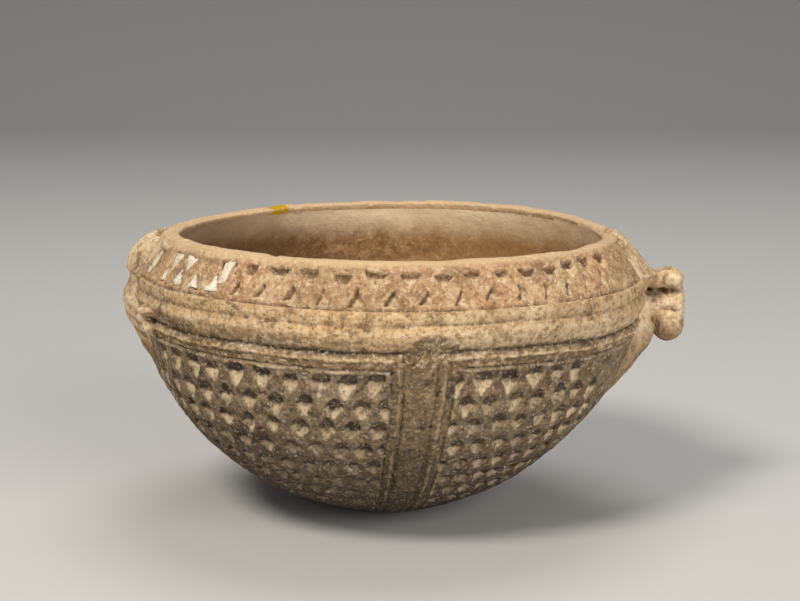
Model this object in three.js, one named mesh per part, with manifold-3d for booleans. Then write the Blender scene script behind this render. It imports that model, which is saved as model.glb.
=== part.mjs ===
// A small hand-built pottery jar, bowl-shaped, with chip-carved panels, a grooved
// shoulder, an in-turned collar and two opposite lugs. Millimetres, +Z up, the foot
// on z = 0, the whole lug towards +X and the broken lug towards -X.

import * as THREE from "three";
import { ConvexGeometry } from "three/addons/geometries/ConvexGeometry.js";
import { mergeVertices } from "three/addons/utils/BufferGeometryUtils.js";
import Module from "manifold-3d";

const wasm = await Module();
wasm.setup();

// Heights of the jar's bands, stacked on the panels' top
const panelTopHeight = 46.8;
const lowerStripHeight = 4.4;
const cordonHeight = 5.6;
const upperStripHeight = 3.1;
const collarHeight = 9.9;
const cordonBaseHeight = panelTopHeight + lowerStripHeight;
const cordonTopHeight = cordonBaseHeight + cordonHeight;
const collarSeamHeight = cordonTopHeight + upperStripHeight;
const lipHeight = collarSeamHeight + collarHeight;

// Outer radii of the lower bowl, from the foot up
const footRadius = 8;
const heelRadius = 21.5;
const heelHeight = 4.4;
const haunchRadius = 33.6;
const haunchHeight = 10.5;
const flankRadius = 44.6;
const flankHeight = 19.5;
const sideRadius = 52.2;
const sideHeight = 28.5;
const waistRadius = 57;
const waistHeight = 37.5;

// The shoulder's wall, and how far each band stands out beyond it
const shoulderRadius = 60.2;
const panelTopInset = 0.5;
const lowerStripProud = 0.9;
const cordonProud = 2;
const cordonGrooveProud = 0.9;
const upperStripProud = 1.8;
const seamProud = 1;
const collarFootProud = 0.5;
const collarInturn = 6.2;
const panelTopRadius = shoulderRadius - panelTopInset;
const lowerStripRadius = shoulderRadius + lowerStripProud;
const cordonRadius = shoulderRadius + cordonProud;
const cordonGrooveRadius = shoulderRadius + cordonGrooveProud;
const upperStripRadius = shoulderRadius + upperStripProud;
const seamRadius = shoulderRadius + seamProud;
const collarFootRadius = seamRadius + collarFootProud;
const lipRadius = seamRadius - collarInturn;

// Collar's foot, lip and walls
const collarFootRise = 0.8;
const lipEdgeDrop = 0.9;
const wallThickness = 5;
const lipThickness = 4;
const floorThickness = 6;
const seatClearance = 0.3;
const roundSegments = 60;
const padRoot = 1;

// Chip-carved pits of the lower panels
const pitDepth = 1.9;
const pitTopWidth = 5.2;
const pitFootWidth = 3.8;
const pitLength = 6.8;
const pitPitch = 6.4;
const pitRows = 8;
const pitRowPitch = 6.3;
const firstPitDrop = 3.5;
const panelMargin = 0.8;
const frameLineWidth = 0.7;
const frameLineDepth = 0.5;

// Triangular notches of the collar
const notchDepth = 1.4;
const notchWidth = 3.9;
const upperNotchLength = 5;
const lowerNotchLength = 4;
const notchPitch = 7.5;
const notchZoneFrom = -155.3;
const notchZoneTo = -30.2;
const upperNotchDrop = 4.4;
const lowerNotchRise = 3;
const upperNotchHeight = lipHeight - upperNotchDrop;
const lowerNotchHeight = collarSeamHeight + lowerNotchRise;

// Upright ribs between the panels
const ribTurn = 7.3;
const ribTopWidth = 14.6;
const ribFootWidth = 11;
const ribFootHeight = 2.6;
const ribBedDepth = 1.7;
const ribProud = 0.5;
const ribGrooveOffset = 3.1;
const ribGrooveWidth = 1.5;
const ribGrooveDepth = 0.9;

// Whole lug towards +X: strap on the collar, stem, upright bar and buttress
const lugZoneAngle = 23;
const strapWidth = 24;
const strapProud = 2.3;
const strapFootDrop = 1.8;
const barStandOff = 6.8;
const barHalfDepth = 3.7;
const barHalfWidth = 5.4;
const barShankDepth = 2.6;
const barTopRise = 1.1;
const barLength = 19.1;
const barKnobHeight = 5.6;
const stemWidth = 9;
const stemFootRise = 6.8;
const stemHeight = 4.8;
const buttressWidth = 26;
const buttressProud = 5;
const buttressHeight = 21.9;
const strapFootHeight = collarSeamHeight - strapFootDrop;
const barMiddleRadius = cordonRadius + barStandOff;
const barTopHeight = collarSeamHeight + barTopRise;
const barFootHeight = barTopHeight - barLength;
const stemFootHeight = barFootHeight + stemFootRise;
const buttressFootHeight = stemFootHeight - buttressHeight;

// Broken lug towards -X: a thicker strap, the torn stump and a low buttress
const oldStrapProud = 4.6;
const stumpWidth = 20;
const stumpProud = 4.2;
const stumpTopDrop = 1.8;
const stumpHeight = 13.4;
const oldButtressProud = 3.4;
const oldButtressHeight = 20.9;
const stumpTopHeight = collarSeamHeight - stumpTopDrop;
const stumpFootHeight = stumpTopHeight - stumpHeight;
const oldButtressFootHeight = stumpFootHeight - oldButtressHeight;

// White paste left in the notches, as turns from the whole lug
const upperPasteTurns = [-148.4, -141.4, -127.5];
const lowerPasteTurns = [-151.8, -144.9, -137.9, -131];
const pasteDrop = 0.2;
const pasteSeat = 0.12;
const pasteGrooveTurn = -162;
const pasteGrooveWidth = 1.8;
const pasteGrooveLength = 7;
const pasteGrooveLean = 1.2;

const clay = { color: "#b3946b", roughness: 0.92 };
const darkClay = { color: "#8d7657", roughness: 0.94 };
const paleClay = { color: "#bf9f74", roughness: 0.9 };
const paste = { color: "#e8e0cc", roughness: 0.95 };

function toSolid(geometry) {
  const bare = geometry.index ? geometry.toNonIndexed() : geometry.clone();
  bare.deleteAttribute("normal");
  bare.deleteAttribute("uv");
  const merged = mergeVertices(bare, 1e-4);
  return new wasm.Manifold(new wasm.Mesh({
    numProp: 3,
    vertProperties: new Float32Array(merged.attributes.position.array),
    triVerts: new Uint32Array(merged.index.array),
  }));
}

function toGeometry(solid) {
  const mesh = solid.getMesh();
  const geometry = new THREE.BufferGeometry();
  geometry.setAttribute("position", new THREE.BufferAttribute(mesh.vertProperties, 3));
  geometry.setIndex(new THREE.BufferAttribute(mesh.triVerts, 1));
  const flat = geometry.toNonIndexed();
  flat.computeVertexNormals();
  return flat;
}

// A turned solid about the jar's axis, from [radius, height] pairs
function turned(pairs, segments = roundSegments) {
  const points = pairs.map(([radius, height]) => new THREE.Vector2(radius, height));
  const geometry = new THREE.LatheGeometry(points, segments);
  geometry.rotateX(Math.PI / 2);
  return toSolid(geometry);
}

// The outer outline, one curve for the bowl and straight runs above it
const bowlCurve = new THREE.SplineCurve([
  new THREE.Vector2(footRadius, 0),
  new THREE.Vector2(heelRadius, heelHeight),
  new THREE.Vector2(haunchRadius, haunchHeight),
  new THREE.Vector2(flankRadius, flankHeight),
  new THREE.Vector2(sideRadius, sideHeight),
  new THREE.Vector2(waistRadius, waistHeight),
  new THREE.Vector2(panelTopRadius, panelTopHeight),
]);
const panelOutline = bowlCurve.getPoints(10).map((point) => [point.x, point.y]);
const lowerStripOutline = [
  [lowerStripRadius, panelTopHeight + 1.7],
  [lowerStripRadius, cordonBaseHeight - 1.4],
  [shoulderRadius, cordonBaseHeight],
];
const bowlOutline = [...panelOutline, ...lowerStripOutline];
const cordonOutline = [
  [shoulderRadius, cordonBaseHeight],
  [cordonRadius - 0.5, cordonBaseHeight + 0.9],
  [cordonRadius, (cordonBaseHeight + cordonTopHeight) / 2],
  [cordonRadius - 0.3, cordonTopHeight - 0.8],
  [cordonGrooveRadius, cordonTopHeight],
  [upperStripRadius, (cordonTopHeight + collarSeamHeight) / 2],
  [seamRadius, collarSeamHeight],
];
const collarOutline = [
  [seamRadius, collarSeamHeight],
  [collarFootRadius, collarSeamHeight + collarFootRise],
  [lipRadius + 0.3, lipHeight - lipEdgeDrop],
  [lipRadius - 0.8, lipHeight],
];
const jarOutline = [...bowlOutline, ...cordonOutline.slice(1), ...collarOutline.slice(1)];

function radiusAt(height) {
  const above = jarOutline.findIndex((point) => point[1] >= height);
  const [r1, z1] = jarOutline[Math.max(above, 1)];
  const [r0, z0] = jarOutline[Math.max(above, 1) - 1];
  return r0 + ((r1 - r0) * (height - z0)) / Math.max(z1 - z0, 1e-6);
}

function slopeAt(height) {
  const rise = radiusAt(height + 1) - radiusAt(height - 1);
  return Math.atan2(rise, 2);
}

// The outline moved outwards along its own normals, or inwards for a negative distance
function offsetOutline(outline, distance) {
  return outline.map((point, i) => {
    const before = outline[Math.max(i - 1, 0)];
    const after = outline[Math.min(i + 1, outline.length - 1)];
    const along = new THREE.Vector2(after[0] - before[0], after[1] - before[1]).normalize();
    return [point[0] + along.y * distance, point[1] - along.x * distance];
  });
}

// The inner wall is one smooth curve from the floor to the lip
const innerFloor = floorThickness;
const innerCurve = new THREE.SplineCurve([
  new THREE.Vector2(0, innerFloor),
  new THREE.Vector2(haunchRadius - wallThickness - 3, haunchHeight + wallThickness * 0.4),
  new THREE.Vector2(flankRadius - wallThickness, flankHeight + wallThickness * 0.3),
  new THREE.Vector2(sideRadius - wallThickness, sideHeight + wallThickness * 0.15),
  new THREE.Vector2(waistRadius - wallThickness, waistHeight),
  new THREE.Vector2(shoulderRadius - wallThickness, cordonBaseHeight),
]);
const bowlInner = innerCurve.getPoints(8).map((point) => [Math.max(point.x, 0), point.y]);
const innerSeamRadius = seamRadius - wallThickness;
const innerLipRadius = lipRadius - lipThickness;

const bowlBody = turned([[0, 0], ...bowlOutline, ...bowlInner.reverse()]);
const cordonBody = turned([
  [shoulderRadius - wallThickness, cordonBaseHeight],
  ...cordonOutline,
  [innerSeamRadius, collarSeamHeight],
  [shoulderRadius - wallThickness, cordonBaseHeight],
]);
const collarBody = turned([
  [innerSeamRadius, collarSeamHeight],
  ...collarOutline,
  [innerLipRadius + 0.8, lipHeight],
  [innerLipRadius, lipHeight - lipEdgeDrop],
  [innerSeamRadius, collarSeamHeight],
]);

// A frame on the jar's outside: X along the band, Y up the wall, Z out of it
function wallFrame(turn, height) {
  const angle = THREE.MathUtils.degToRad(turn);
  const slope = slopeAt(height);
  const along = new THREE.Vector3(-Math.sin(angle), Math.cos(angle), 0);
  const out = new THREE.Vector3(Math.cos(angle), Math.sin(angle), 0);
  const upWall = out.clone().multiplyScalar(Math.sin(slope));
  upWall.z = Math.cos(slope);
  const normal = along.clone().cross(upWall);
  const place = out.clone().multiplyScalar(radiusAt(height));
  place.z = height;
  return new THREE.Matrix4().makeBasis(along, upWall, normal).setPosition(place);
}

// The pyramid that one chip of the knife leaves, carried on above the wall by the lift
function chip(outline, deep, depth, lift = 1.2) {
  const ratio = (depth + lift) / depth;
  const points = outline.map(([x, y]) => new THREE.Vector3(
    deep[0] + (x - deep[0]) * ratio,
    deep[1] + (y - deep[1]) * ratio,
    lift,
  ));
  points.push(new THREE.Vector3(deep[0], deep[1], -depth));
  return new ConvexGeometry(points);
}

function chipAt(geometry, turn, height, rise = 0) {
  const raised = geometry.clone().translate(0, 0, rise);
  return toSolid(raised.applyMatrix4(wallFrame(turn, height)));
}

function downTriangle(width, length) {
  return [[-width / 2, length / 2], [width / 2, length / 2], [0, -length / 2]];
}

function upTriangle(width, length) {
  return [[-width / 2, -length / 2], [width / 2, -length / 2], [0, length / 2]];
}

function diamond(width, length) {
  return [[-width / 2, 0], [0, length / 2], [width / 2, 0], [0, -length / 2]];
}

// Turns, in degrees, spread evenly over a span at about one pitch. Every second row
// stands half a step on, with one fewer.
function spread(from, to, pitch, radius, halfStepOn) {
  const length = THREE.MathUtils.degToRad(to - from) * radius;
  const count = Math.max(Math.round(length / pitch), 1);
  const step = (to - from) / count;
  const turns = [];
  for (let i = 0; i < (halfStepOn ? count - 1 : count); i += 1) {
    turns.push(from + step * (i + (halfStepOn ? 1 : 0.5)));
  }
  return turns;
}

// The height at a distance down the wall from the panels' top
function heightDownWall(distance) {
  let left = distance;
  for (let i = panelOutline.length - 1; i > 0; i -= 1) {
    const [r1, z1] = panelOutline[i];
    const [r0, z0] = panelOutline[i - 1];
    const run = Math.hypot(r1 - r0, z1 - z0);
    if (left <= run) {
      return z1 + ((z0 - z1) * left) / run;
    }
    left -= run;
  }
  return 0;
}

// Four panels of pits between the lugs and the ribs
const ribTurns = [ribTurn - 90, ribTurn + 90];
const pitCutters = [];
for (let row = 0; row < pitRows; row += 1) {
  const height = heightDownWall(firstPitDrop + row * pitRowPitch);
  const radius = radiusAt(height);
  const share = row / (pitRows - 1);
  const width = pitTopWidth + (pitFootWidth - pitTopWidth) * share;
  const ribWidth = ribFootWidth + (ribTopWidth - ribFootWidth) * (height / panelTopHeight);
  const ribHalf = THREE.MathUtils.radToDeg((ribWidth / 2 + panelMargin) / radius);
  const chipShape = row === 0
    ? chip(downTriangle(width, pitLength * 0.8), [0, pitLength * 0.2], pitDepth)
    : chip(diamond(width, pitLength), [0, pitLength * 0.12], pitDepth);
  const panels = [
    [lugZoneAngle - 180, ribTurns[0] - ribHalf],
    [ribTurns[0] + ribHalf, -lugZoneAngle],
    [lugZoneAngle, ribTurns[1] - ribHalf],
    [ribTurns[1] + ribHalf, 180 - lugZoneAngle],
  ];
  for (const [from, to] of panels) {
    for (const turn of spread(from, to, pitPitch, radius, row % 2 === 1)) {
      pitCutters.push(chipAt(chipShape, turn, height));
    }
  }
}

// Ribs: the skin of the bowl, cut to a tapering band and set in a bed
const skinOutline = [...bowlOutline, [shoulderRadius, cordonBaseHeight + 3]];
function skin(inner, outer) {
  const inside = offsetOutline(skinOutline, inner);
  const outside = offsetOutline(skinOutline, outer);
  return turned([...outside, ...inside.reverse(), outside[0]]);
}

function ribBand(turn, grow, top) {
  const shape = new THREE.Shape([
    new THREE.Vector2(-ribFootWidth / 2 - grow, ribFootHeight - grow),
    new THREE.Vector2(ribFootWidth / 2 + grow, ribFootHeight - grow),
    new THREE.Vector2(ribTopWidth / 2 + grow, top),
    new THREE.Vector2(-ribTopWidth / 2 - grow, top),
  ]);
  const geometry = new THREE.ExtrudeGeometry(shape, {
    depth: cordonRadius * 1.2,
    bevelEnabled: false,
  });
  geometry.rotateX(Math.PI / 2);
  geometry.rotateZ(THREE.MathUtils.degToRad(turn + 90));
  return toSolid(geometry);
}

function ribGroove(turn, side) {
  const geometry = new THREE.BoxGeometry(ribGrooveWidth, cordonRadius * 1.2, lipHeight * 2);
  geometry.translate(side * ribGrooveOffset, -cordonRadius * 0.6, 0);
  geometry.rotateZ(THREE.MathUtils.degToRad(turn + 90));
  return toSolid(geometry);
}

const ribSkin = skin(seatClearance - ribBedDepth, ribProud);
const bedSkin = skin(-ribBedDepth, ribProud + 2);
const grooveSkin = skin(ribProud - ribGrooveDepth, ribProud + 2);
const ribBeds = [];
const ribSolids = ribTurns.map((turn) => {
  ribBeds.push(bedSkin.intersect(ribBand(turn, seatClearance, cordonBaseHeight + 1)));
  let rib = ribSkin.intersect(ribBand(turn, 0, cordonBaseHeight));
  for (const side of [-1, 1]) {
    rib = rib.subtract(grooveSkin.intersect(ribGroove(turn, side)));
  }
  return rib;
});

// Incised line that closes the panels at the top, under the lower strip
const lineRadius = radiusAt(panelTopHeight);
const frameLine = turned([
  [lineRadius - frameLineDepth, panelTopHeight],
  [lineRadius + 1, panelTopHeight - frameLineWidth],
  [lineRadius + 1, panelTopHeight + frameLineWidth],
  [lineRadius - frameLineDepth, panelTopHeight],
]);
const bowlSolid = wasm.Manifold.difference([bowlBody, frameLine, ...ribBeds, ...pitCutters]);

// Collar notches in two interlocking rows between the lugs
const upperNotch = chip(
  downTriangle(notchWidth, upperNotchLength), [0, upperNotchLength * 0.25], notchDepth);
const lowerNotch = chip(
  upTriangle(notchWidth, lowerNotchLength), [0, -lowerNotchLength * 0.2], notchDepth);
const collarSpans = [[notchZoneFrom, notchZoneTo], [notchZoneFrom + 180, notchZoneTo + 180]];
const upperNotchTurns = [];
const lowerNotchTurns = [];
for (const [from, to] of collarSpans) {
  upperNotchTurns.push(...spread(from, to, notchPitch, collarFootRadius, true));
  lowerNotchTurns.push(...spread(from, to, notchPitch, collarFootRadius, false));
}
const notchCutters = [
  ...upperNotchTurns.map((turn) => chipAt(upperNotch, turn, upperNotchHeight)),
  ...lowerNotchTurns.map((turn) => chipAt(lowerNotch, turn, lowerNotchHeight)),
];

// Upright paste-filled groove between the broken lug's strap and the notches
const pasteGroove = chip([
  [-pasteGrooveWidth / 2 - pasteGrooveLean, -pasteGrooveLength / 2],
  [pasteGrooveWidth / 2 - pasteGrooveLean, -pasteGrooveLength / 2],
  [pasteGrooveWidth / 2 + pasteGrooveLean, pasteGrooveLength / 2],
  [-pasteGrooveWidth / 2 + pasteGrooveLean, pasteGrooveLength / 2],
], [0, 0], notchDepth);
const grooveHeight = (upperNotchHeight + lowerNotchHeight) / 2;
notchCutters.push(chipAt(pasteGroove, pasteGrooveTurn, grooveHeight));
const collarSolid = wasm.Manifold.difference([collarBody, ...notchCutters]);

// The paste stands a little under the collar's face, on a bed as thin as its seat
const pasteFace = turned([[0, 0], ...offsetOutline(jarOutline, -pasteDrop), [0, lipHeight]]);
function pasteAt(geometry, turn, height) {
  return chipAt(geometry, turn, height, pasteSeat).intersect(pasteFace);
}

function nearest(turns, wanted) {
  return turns.reduce((a, b) => (Math.abs(b - wanted) < Math.abs(a - wanted) ? b : a));
}

// A closed skin through horizontal loops of points, with flat ends
function loft(loops) {
  const count = loops[0].length;
  const positions = [];
  const quad = (a, b, c, d) => positions.push(...a, ...b, ...c, ...a, ...c, ...d);
  for (let i = 0; i < loops.length - 1; i += 1) {
    for (let j = 0; j < count; j += 1) {
      const k = (j + 1) % count;
      quad(loops[i][j], loops[i][k], loops[i + 1][k], loops[i + 1][j]);
    }
  }
  const last = loops[loops.length - 1];
  for (let j = 1; j < count - 1; j += 1) {
    positions.push(...loops[0][0], ...loops[0][j + 1], ...loops[0][j]);
    positions.push(...last[0], ...last[j], ...last[j + 1]);
  }
  const geometry = new THREE.BufferGeometry();
  geometry.setAttribute("position", new THREE.Float32BufferAttribute(positions, 3));
  return toSolid(geometry);
}

// A pad of clay pressed on the wall towards +X, from [height, proud, width] rows, foot
// first. It thins out to its two edges and its back lies inside the wall.
const padSteps = 8;
function pad(rows, unevenness = 0) {
  return loft(rows.map(([height, proud, width]) => {
    const loop = [];
    const wall = radiusAt(height);
    for (let i = 0; i <= padSteps; i += 1) {
      const share = (2 * i) / padSteps - 1;
      const y = (share * width) / 2;
      const swell = (1 - Math.abs(share) ** 4) * (proud + padRoot) - padRoot;
      const rough = unevenness * Math.sin(4.3 * y + 1.7 * height);
      const radius = wall + swell + (Math.abs(share) < 1 ? rough : 0);
      loop.push([Math.sqrt(radius * radius - y * y), y, height]);
    }
    loop.push([wall - wallThickness, width / 2, height]);
    loop.push([wall - wallThickness, -width / 2, height]);
    return loop;
  }));
}

const seatGuard = turned([
  [0, -1],
  [footRadius, -1],
  ...offsetOutline(jarOutline, seatClearance),
  [0, lipHeight + seatClearance],
]);

// Whole lug
const strap = pad([
  [strapFootHeight, strapProud - 0.2, strapWidth],
  [collarSeamHeight, strapProud, strapWidth],
  [collarSeamHeight + collarFootRise, strapProud, strapWidth],
  [lipHeight - 3, strapProud - 0.3, strapWidth],
  [lipHeight - lipEdgeDrop, strapProud - 0.6, strapWidth],
  [lipHeight, strapProud - 1, strapWidth],
]).subtract(seatGuard);

const buttressRise = stemFootHeight - buttressFootHeight;
const buttress = pad([
  [buttressFootHeight, 0.5, buttressWidth * 0.8],
  [buttressFootHeight + buttressRise * 0.2, buttressProud * 0.4, buttressWidth * 0.9],
  [buttressFootHeight + buttressRise * 0.4, buttressProud * 0.72, buttressWidth],
  [buttressFootHeight + buttressRise * 0.62, buttressProud, buttressWidth * 0.94],
  [buttressFootHeight + buttressRise * 0.8, buttressProud, buttressWidth * 0.8],
  [stemFootHeight, buttressProud - 1, buttressWidth * 0.6],
]).subtract(seatGuard);

// Upright bar from [height, middle, half depth, half width] rows, foot first
const knobShares = [[0, 0.35], [0.08, 0.7], [0.3, 0.95], [0.7, 1]];
const shankMiddle = barMiddleRadius + barHalfDepth - barShankDepth;
function barRows() {
  const rows = [];
  for (const [rise, size] of knobShares) {
    rows.push([barFootHeight + rise * barKnobHeight, barMiddleRadius, size]);
  }
  rows.push([barFootHeight + barKnobHeight * 1.1, shankMiddle, 0]);
  rows.push([barTopHeight - barKnobHeight * 1.1, shankMiddle, 0]);
  for (const [rise, size] of [...knobShares].reverse()) {
    rows.push([barTopHeight - rise * barKnobHeight, barMiddleRadius, size]);
  }
  return rows;
}

const barSides = 12;
const bar = loft(barRows().map(([height, middle, size]) => {
  const depth = size > 0 ? barHalfDepth * size : barShankDepth;
  const width = size > 0 ? barHalfWidth * size : barHalfWidth * 0.8;
  const loop = [];
  for (let i = 0; i < barSides; i += 1) {
    const angle = (2 * Math.PI * i) / barSides;
    loop.push([middle + depth * Math.cos(angle), width * Math.sin(angle), height]);
  }
  return loop;
}));

// The stem's flat end bears on a flat cut in the back of the bar
const stemEndRadius = shankMiddle - barShankDepth * 0.5;
const stemBlock = new THREE.BoxGeometry(stemEndRadius, stemWidth, stemHeight);
stemBlock.translate(stemEndRadius / 2, 0, stemFootHeight + stemHeight / 2);
const stem = toSolid(stemBlock).subtract(seatGuard);
const socketBlock = new THREE.BoxGeometry(
  stemEndRadius, barHalfWidth * 3, stemHeight + 2 * seatClearance);
socketBlock.translate(stemEndRadius / 2, 0, stemFootHeight + stemHeight / 2);
const barSolid = bar.subtract(toSolid(socketBlock));

// Broken lug, made towards +X like the whole one and turned half round
const oldStrap = pad([
  [stumpTopHeight, oldStrapProud - 1.8, strapWidth],
  [collarSeamHeight + collarFootRise, oldStrapProud - 1.2, strapWidth],
  [collarSeamHeight + 5, oldStrapProud, strapWidth],
  [lipHeight - 1.5, oldStrapProud - 0.3, strapWidth],
  [lipHeight - 0.4, oldStrapProud - 2, strapWidth],
  [lipHeight, oldStrapProud - 3.4, strapWidth * 0.96],
]).subtract(seatGuard);

const stumpRise = stumpTopHeight - stumpFootHeight;
const stump = pad([
  [stumpFootHeight, stumpProud - 0.5, stumpWidth],
  [stumpFootHeight + stumpRise * 0.2, stumpProud - 0.2, stumpWidth * 0.92],
  [stumpFootHeight + stumpRise * 0.4, stumpProud, stumpWidth * 0.9],
  [stumpFootHeight + stumpRise * 0.6, stumpProud + 0.1, stumpWidth * 0.86],
  [stumpFootHeight + stumpRise * 0.8, stumpProud - 0.6, stumpWidth * 0.9],
  [stumpTopHeight, stumpProud - 1.2, stumpWidth],
], 0.3).subtract(seatGuard);

const oldButtressRise = stumpFootHeight - oldButtressFootHeight;
const oldButtress = pad([
  [oldButtressFootHeight, 0.5, buttressWidth * 0.7],
  [oldButtressFootHeight + oldButtressRise * 0.3, oldButtressProud * 0.5, buttressWidth * 0.8],
  [oldButtressFootHeight + oldButtressRise * 0.7, oldButtressProud * 0.65, buttressWidth * 0.9],
  [stumpFootHeight, oldButtressProud, buttressWidth * 0.9],
]).subtract(seatGuard);

function addNode(group, name, solid, finish) {
  const material = new THREE.MeshStandardMaterial({ metalness: 0, ...finish });
  const mesh = new THREE.Mesh(toGeometry(solid), material);
  mesh.name = name;
  group.add(mesh);
}

const jar = new THREE.Group();
jar.name = "jar";
addNode(jar, "lower_bowl", bowlSolid, darkClay);
addNode(jar, "shoulder_cordon", cordonBody, paleClay);
addNode(jar, "rim_collar", collarSolid, clay);
addNode(jar, "front_rib", ribSolids[0], clay);
addNode(jar, "back_rib", ribSolids[1], clay);

const wholeLug = new THREE.Group();
wholeLug.name = "whole_lug";
addNode(wholeLug, "right_lug_strap", strap, paleClay);
addNode(wholeLug, "right_lug_stem", stem, paleClay);
addNode(wholeLug, "right_lug_bar", barSolid, paleClay);
addNode(wholeLug, "right_lug_buttress", buttress, clay);
jar.add(wholeLug);

const brokenLug = new THREE.Group();
brokenLug.name = "broken_lug";
brokenLug.rotation.z = Math.PI;
addNode(brokenLug, "left_lug_strap", oldStrap, paleClay);
addNode(brokenLug, "left_lug_stump", stump, paleClay);
addNode(brokenLug, "left_lug_buttress", oldButtress, clay);
jar.add(brokenLug);

upperPasteTurns.forEach((wanted, i) => {
  const turn = nearest(upperNotchTurns, wanted);
  addNode(jar, `white_inlay_upper_${i + 1}`, pasteAt(upperNotch, turn, upperNotchHeight), paste);
});
lowerPasteTurns.forEach((wanted, i) => {
  const turn = nearest(lowerNotchTurns, wanted);
  addNode(jar, `white_inlay_lower_${i + 1}`, pasteAt(lowerNotch, turn, lowerNotchHeight), paste);
});
const grooveFill = pasteAt(pasteGroove, pasteGrooveTurn, grooveHeight);
addNode(jar, "white_groove_fill", grooveFill, paste);

export default jar;
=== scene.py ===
import functools
import math

import bmesh
import bpy
import numpy as np
from mathutils import Matrix, Vector


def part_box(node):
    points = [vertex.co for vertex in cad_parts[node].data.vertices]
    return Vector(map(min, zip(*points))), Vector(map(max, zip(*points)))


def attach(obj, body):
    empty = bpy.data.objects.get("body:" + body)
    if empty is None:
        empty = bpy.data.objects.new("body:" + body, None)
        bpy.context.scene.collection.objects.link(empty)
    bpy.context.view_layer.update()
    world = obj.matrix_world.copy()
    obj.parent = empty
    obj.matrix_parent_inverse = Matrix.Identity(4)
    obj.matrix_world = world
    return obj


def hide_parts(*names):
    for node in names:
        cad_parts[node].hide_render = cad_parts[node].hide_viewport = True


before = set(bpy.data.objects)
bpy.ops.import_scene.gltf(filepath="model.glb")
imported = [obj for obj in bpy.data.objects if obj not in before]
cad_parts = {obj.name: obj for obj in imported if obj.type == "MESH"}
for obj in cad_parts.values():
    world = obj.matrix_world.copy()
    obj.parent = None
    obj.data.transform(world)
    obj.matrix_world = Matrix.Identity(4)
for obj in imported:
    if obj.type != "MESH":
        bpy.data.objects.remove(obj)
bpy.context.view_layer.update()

bl_info = {
    "name": "Chip-carved jar",
    "version": (1, 0, 0),
    "blender": (4, 5, 0),
    "location": "View3D > Sidebar > Jar",
    "description": "A small pottery jar with carved panels, a notched collar and two lugs",
    "category": "Add Mesh",
}

MILLIMETRE = 0.001


def in_mm(metres):
    return metres / MILLIMETRE


# Heights and radii that the frame gives, in millimetres
LIP_HEIGHT = in_mm(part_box("rim_collar")[1].z)
SEAM_HEIGHT = in_mm(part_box("rim_collar")[0].z)
CORDON_BASE = in_mm(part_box("shoulder_cordon")[0].z)
CORDON_RADIUS = in_mm(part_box("shoulder_cordon")[1].x)
LUG_REACH = in_mm(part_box("right_lug_bar")[1].x)
LUG_TOP = in_mm(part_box("right_lug_bar")[1].z)
LUG_FOOT = in_mm(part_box("right_lug_bar")[0].z)
STUMP_REACH = -in_mm(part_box("left_lug_stump")[0].x)

# The panels end under a strip that belongs to the bowl
STRIP_HEIGHT = 4.4
PANEL_TOP = CORDON_BASE - STRIP_HEIGHT
CORDON_STAND = 2.0
SHOULDER_RADIUS = CORDON_RADIUS - CORDON_STAND
PANEL_TOP_RADIUS = SHOULDER_RADIUS - 0.5
LIP_ROUND = 0.8
LIP_THICKNESS = 4.0

# Outer and inner outlines as (radius, height), from the foot up
BOWL_KNOTS = (
    (8, 0), (21.5, 4.4), (33.6, 10.5), (44.6, 19.5), (52.2, 28.5), (57, 37.5),
    (PANEL_TOP_RADIUS, PANEL_TOP), (SHOULDER_RADIUS, CORDON_BASE + 1),
    (SHOULDER_RADIUS + 0.3, SEAM_HEIGHT),
)
INNER_KNOTS = (
    (0, 6), (14, 7.6), (25.6, 12.5), (39.6, 21), (47.2, 29.3), (51.6, 37.5),
    (SHOULDER_RADIUS - 5.6, PANEL_TOP + 1), (SHOULDER_RADIUS - 5.2, CORDON_BASE + 3),
    (SHOULDER_RADIUS - 6.4, SEAM_HEIGHT + 1.5), (SHOULDER_RADIUS - 8.8, LIP_HEIGHT - LIP_ROUND),
)
COLLAR_FOOT = (CORDON_RADIUS - 0.75, SEAM_HEIGHT - 0.15)
COLLAR_TOP = (SHOULDER_RADIUS - 4.8, LIP_HEIGHT - LIP_ROUND)

# The outer skins' thickness, the gap behind them and the way up the wall where they start.
# Below FOOT_OUTSIDE the core's faces are the jar's outside.
SKIN = 2.4
SEAT = 0.05
CORE_SEAM = 14.5
FOOT_OUTSIDE = 5.6

# Distances between a band's points up the wall, and its points behind
COLLAR_STEP = 0.26
SHOULDER_STEP = 0.22
SHOULDER_BACK_POINTS = 4
LIP_POINTS = 14
INNER_POINTS = 16

# Points that each step of a spin is cut into afterwards, which is quicker than spinning them
SPIN_CUTS = 7

# Frame strip round the panels: (share of the way across it, stand-out from the wall)
FRAME_PROFILE = (
    (-0.4, 0), (-0.2, 0.12), (-0.13, 0.42), (-0.07, 0.35), (-0.02, -0.4), (0.03, -0.45),
    (0.08, 0.12), (0.42, 0.3), (0.5, 0.95), (0.58, 1.15), (0.65, 0.95), (0.84, 0.2),
    (0.92, -0.15), (0.97, 0.0), (1.03, 0.4),
)
FRAME_END = FRAME_PROFILE[-1][0]

# Cordon and upper strip: (height above the panels' top, stand-out from the wall)
CORDON_PROFILE = (
    (4.2, 0.1), (4.6, 0.5), (5.1, 0.95), (6.2, 1.5), (7.4, 1.9), (8.2, 2.1), (8.8, 1.95),
    (9.7, 1.45), (10.1, 1.05), (10.35, 1.0), (10.7, 1.35), (11.4, 1.6), (12.7, 1.5),
    (13.1, 1.15), (13.4, 0.75), (13.8, 0.8),
)

# How grey-brown the lower half of the cordon is at turns about the axis
CORDON_SHADE = (
    (-175, 0.8), (-150, 0.85), (-122, 0.7), (-102, 0.5), (-90, 0.3), (-82, 0.12), (-60, 0.05),
    (-20, 0.05), (30, 0.5), (90, 0.7), (150, 0.4),
)

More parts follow.
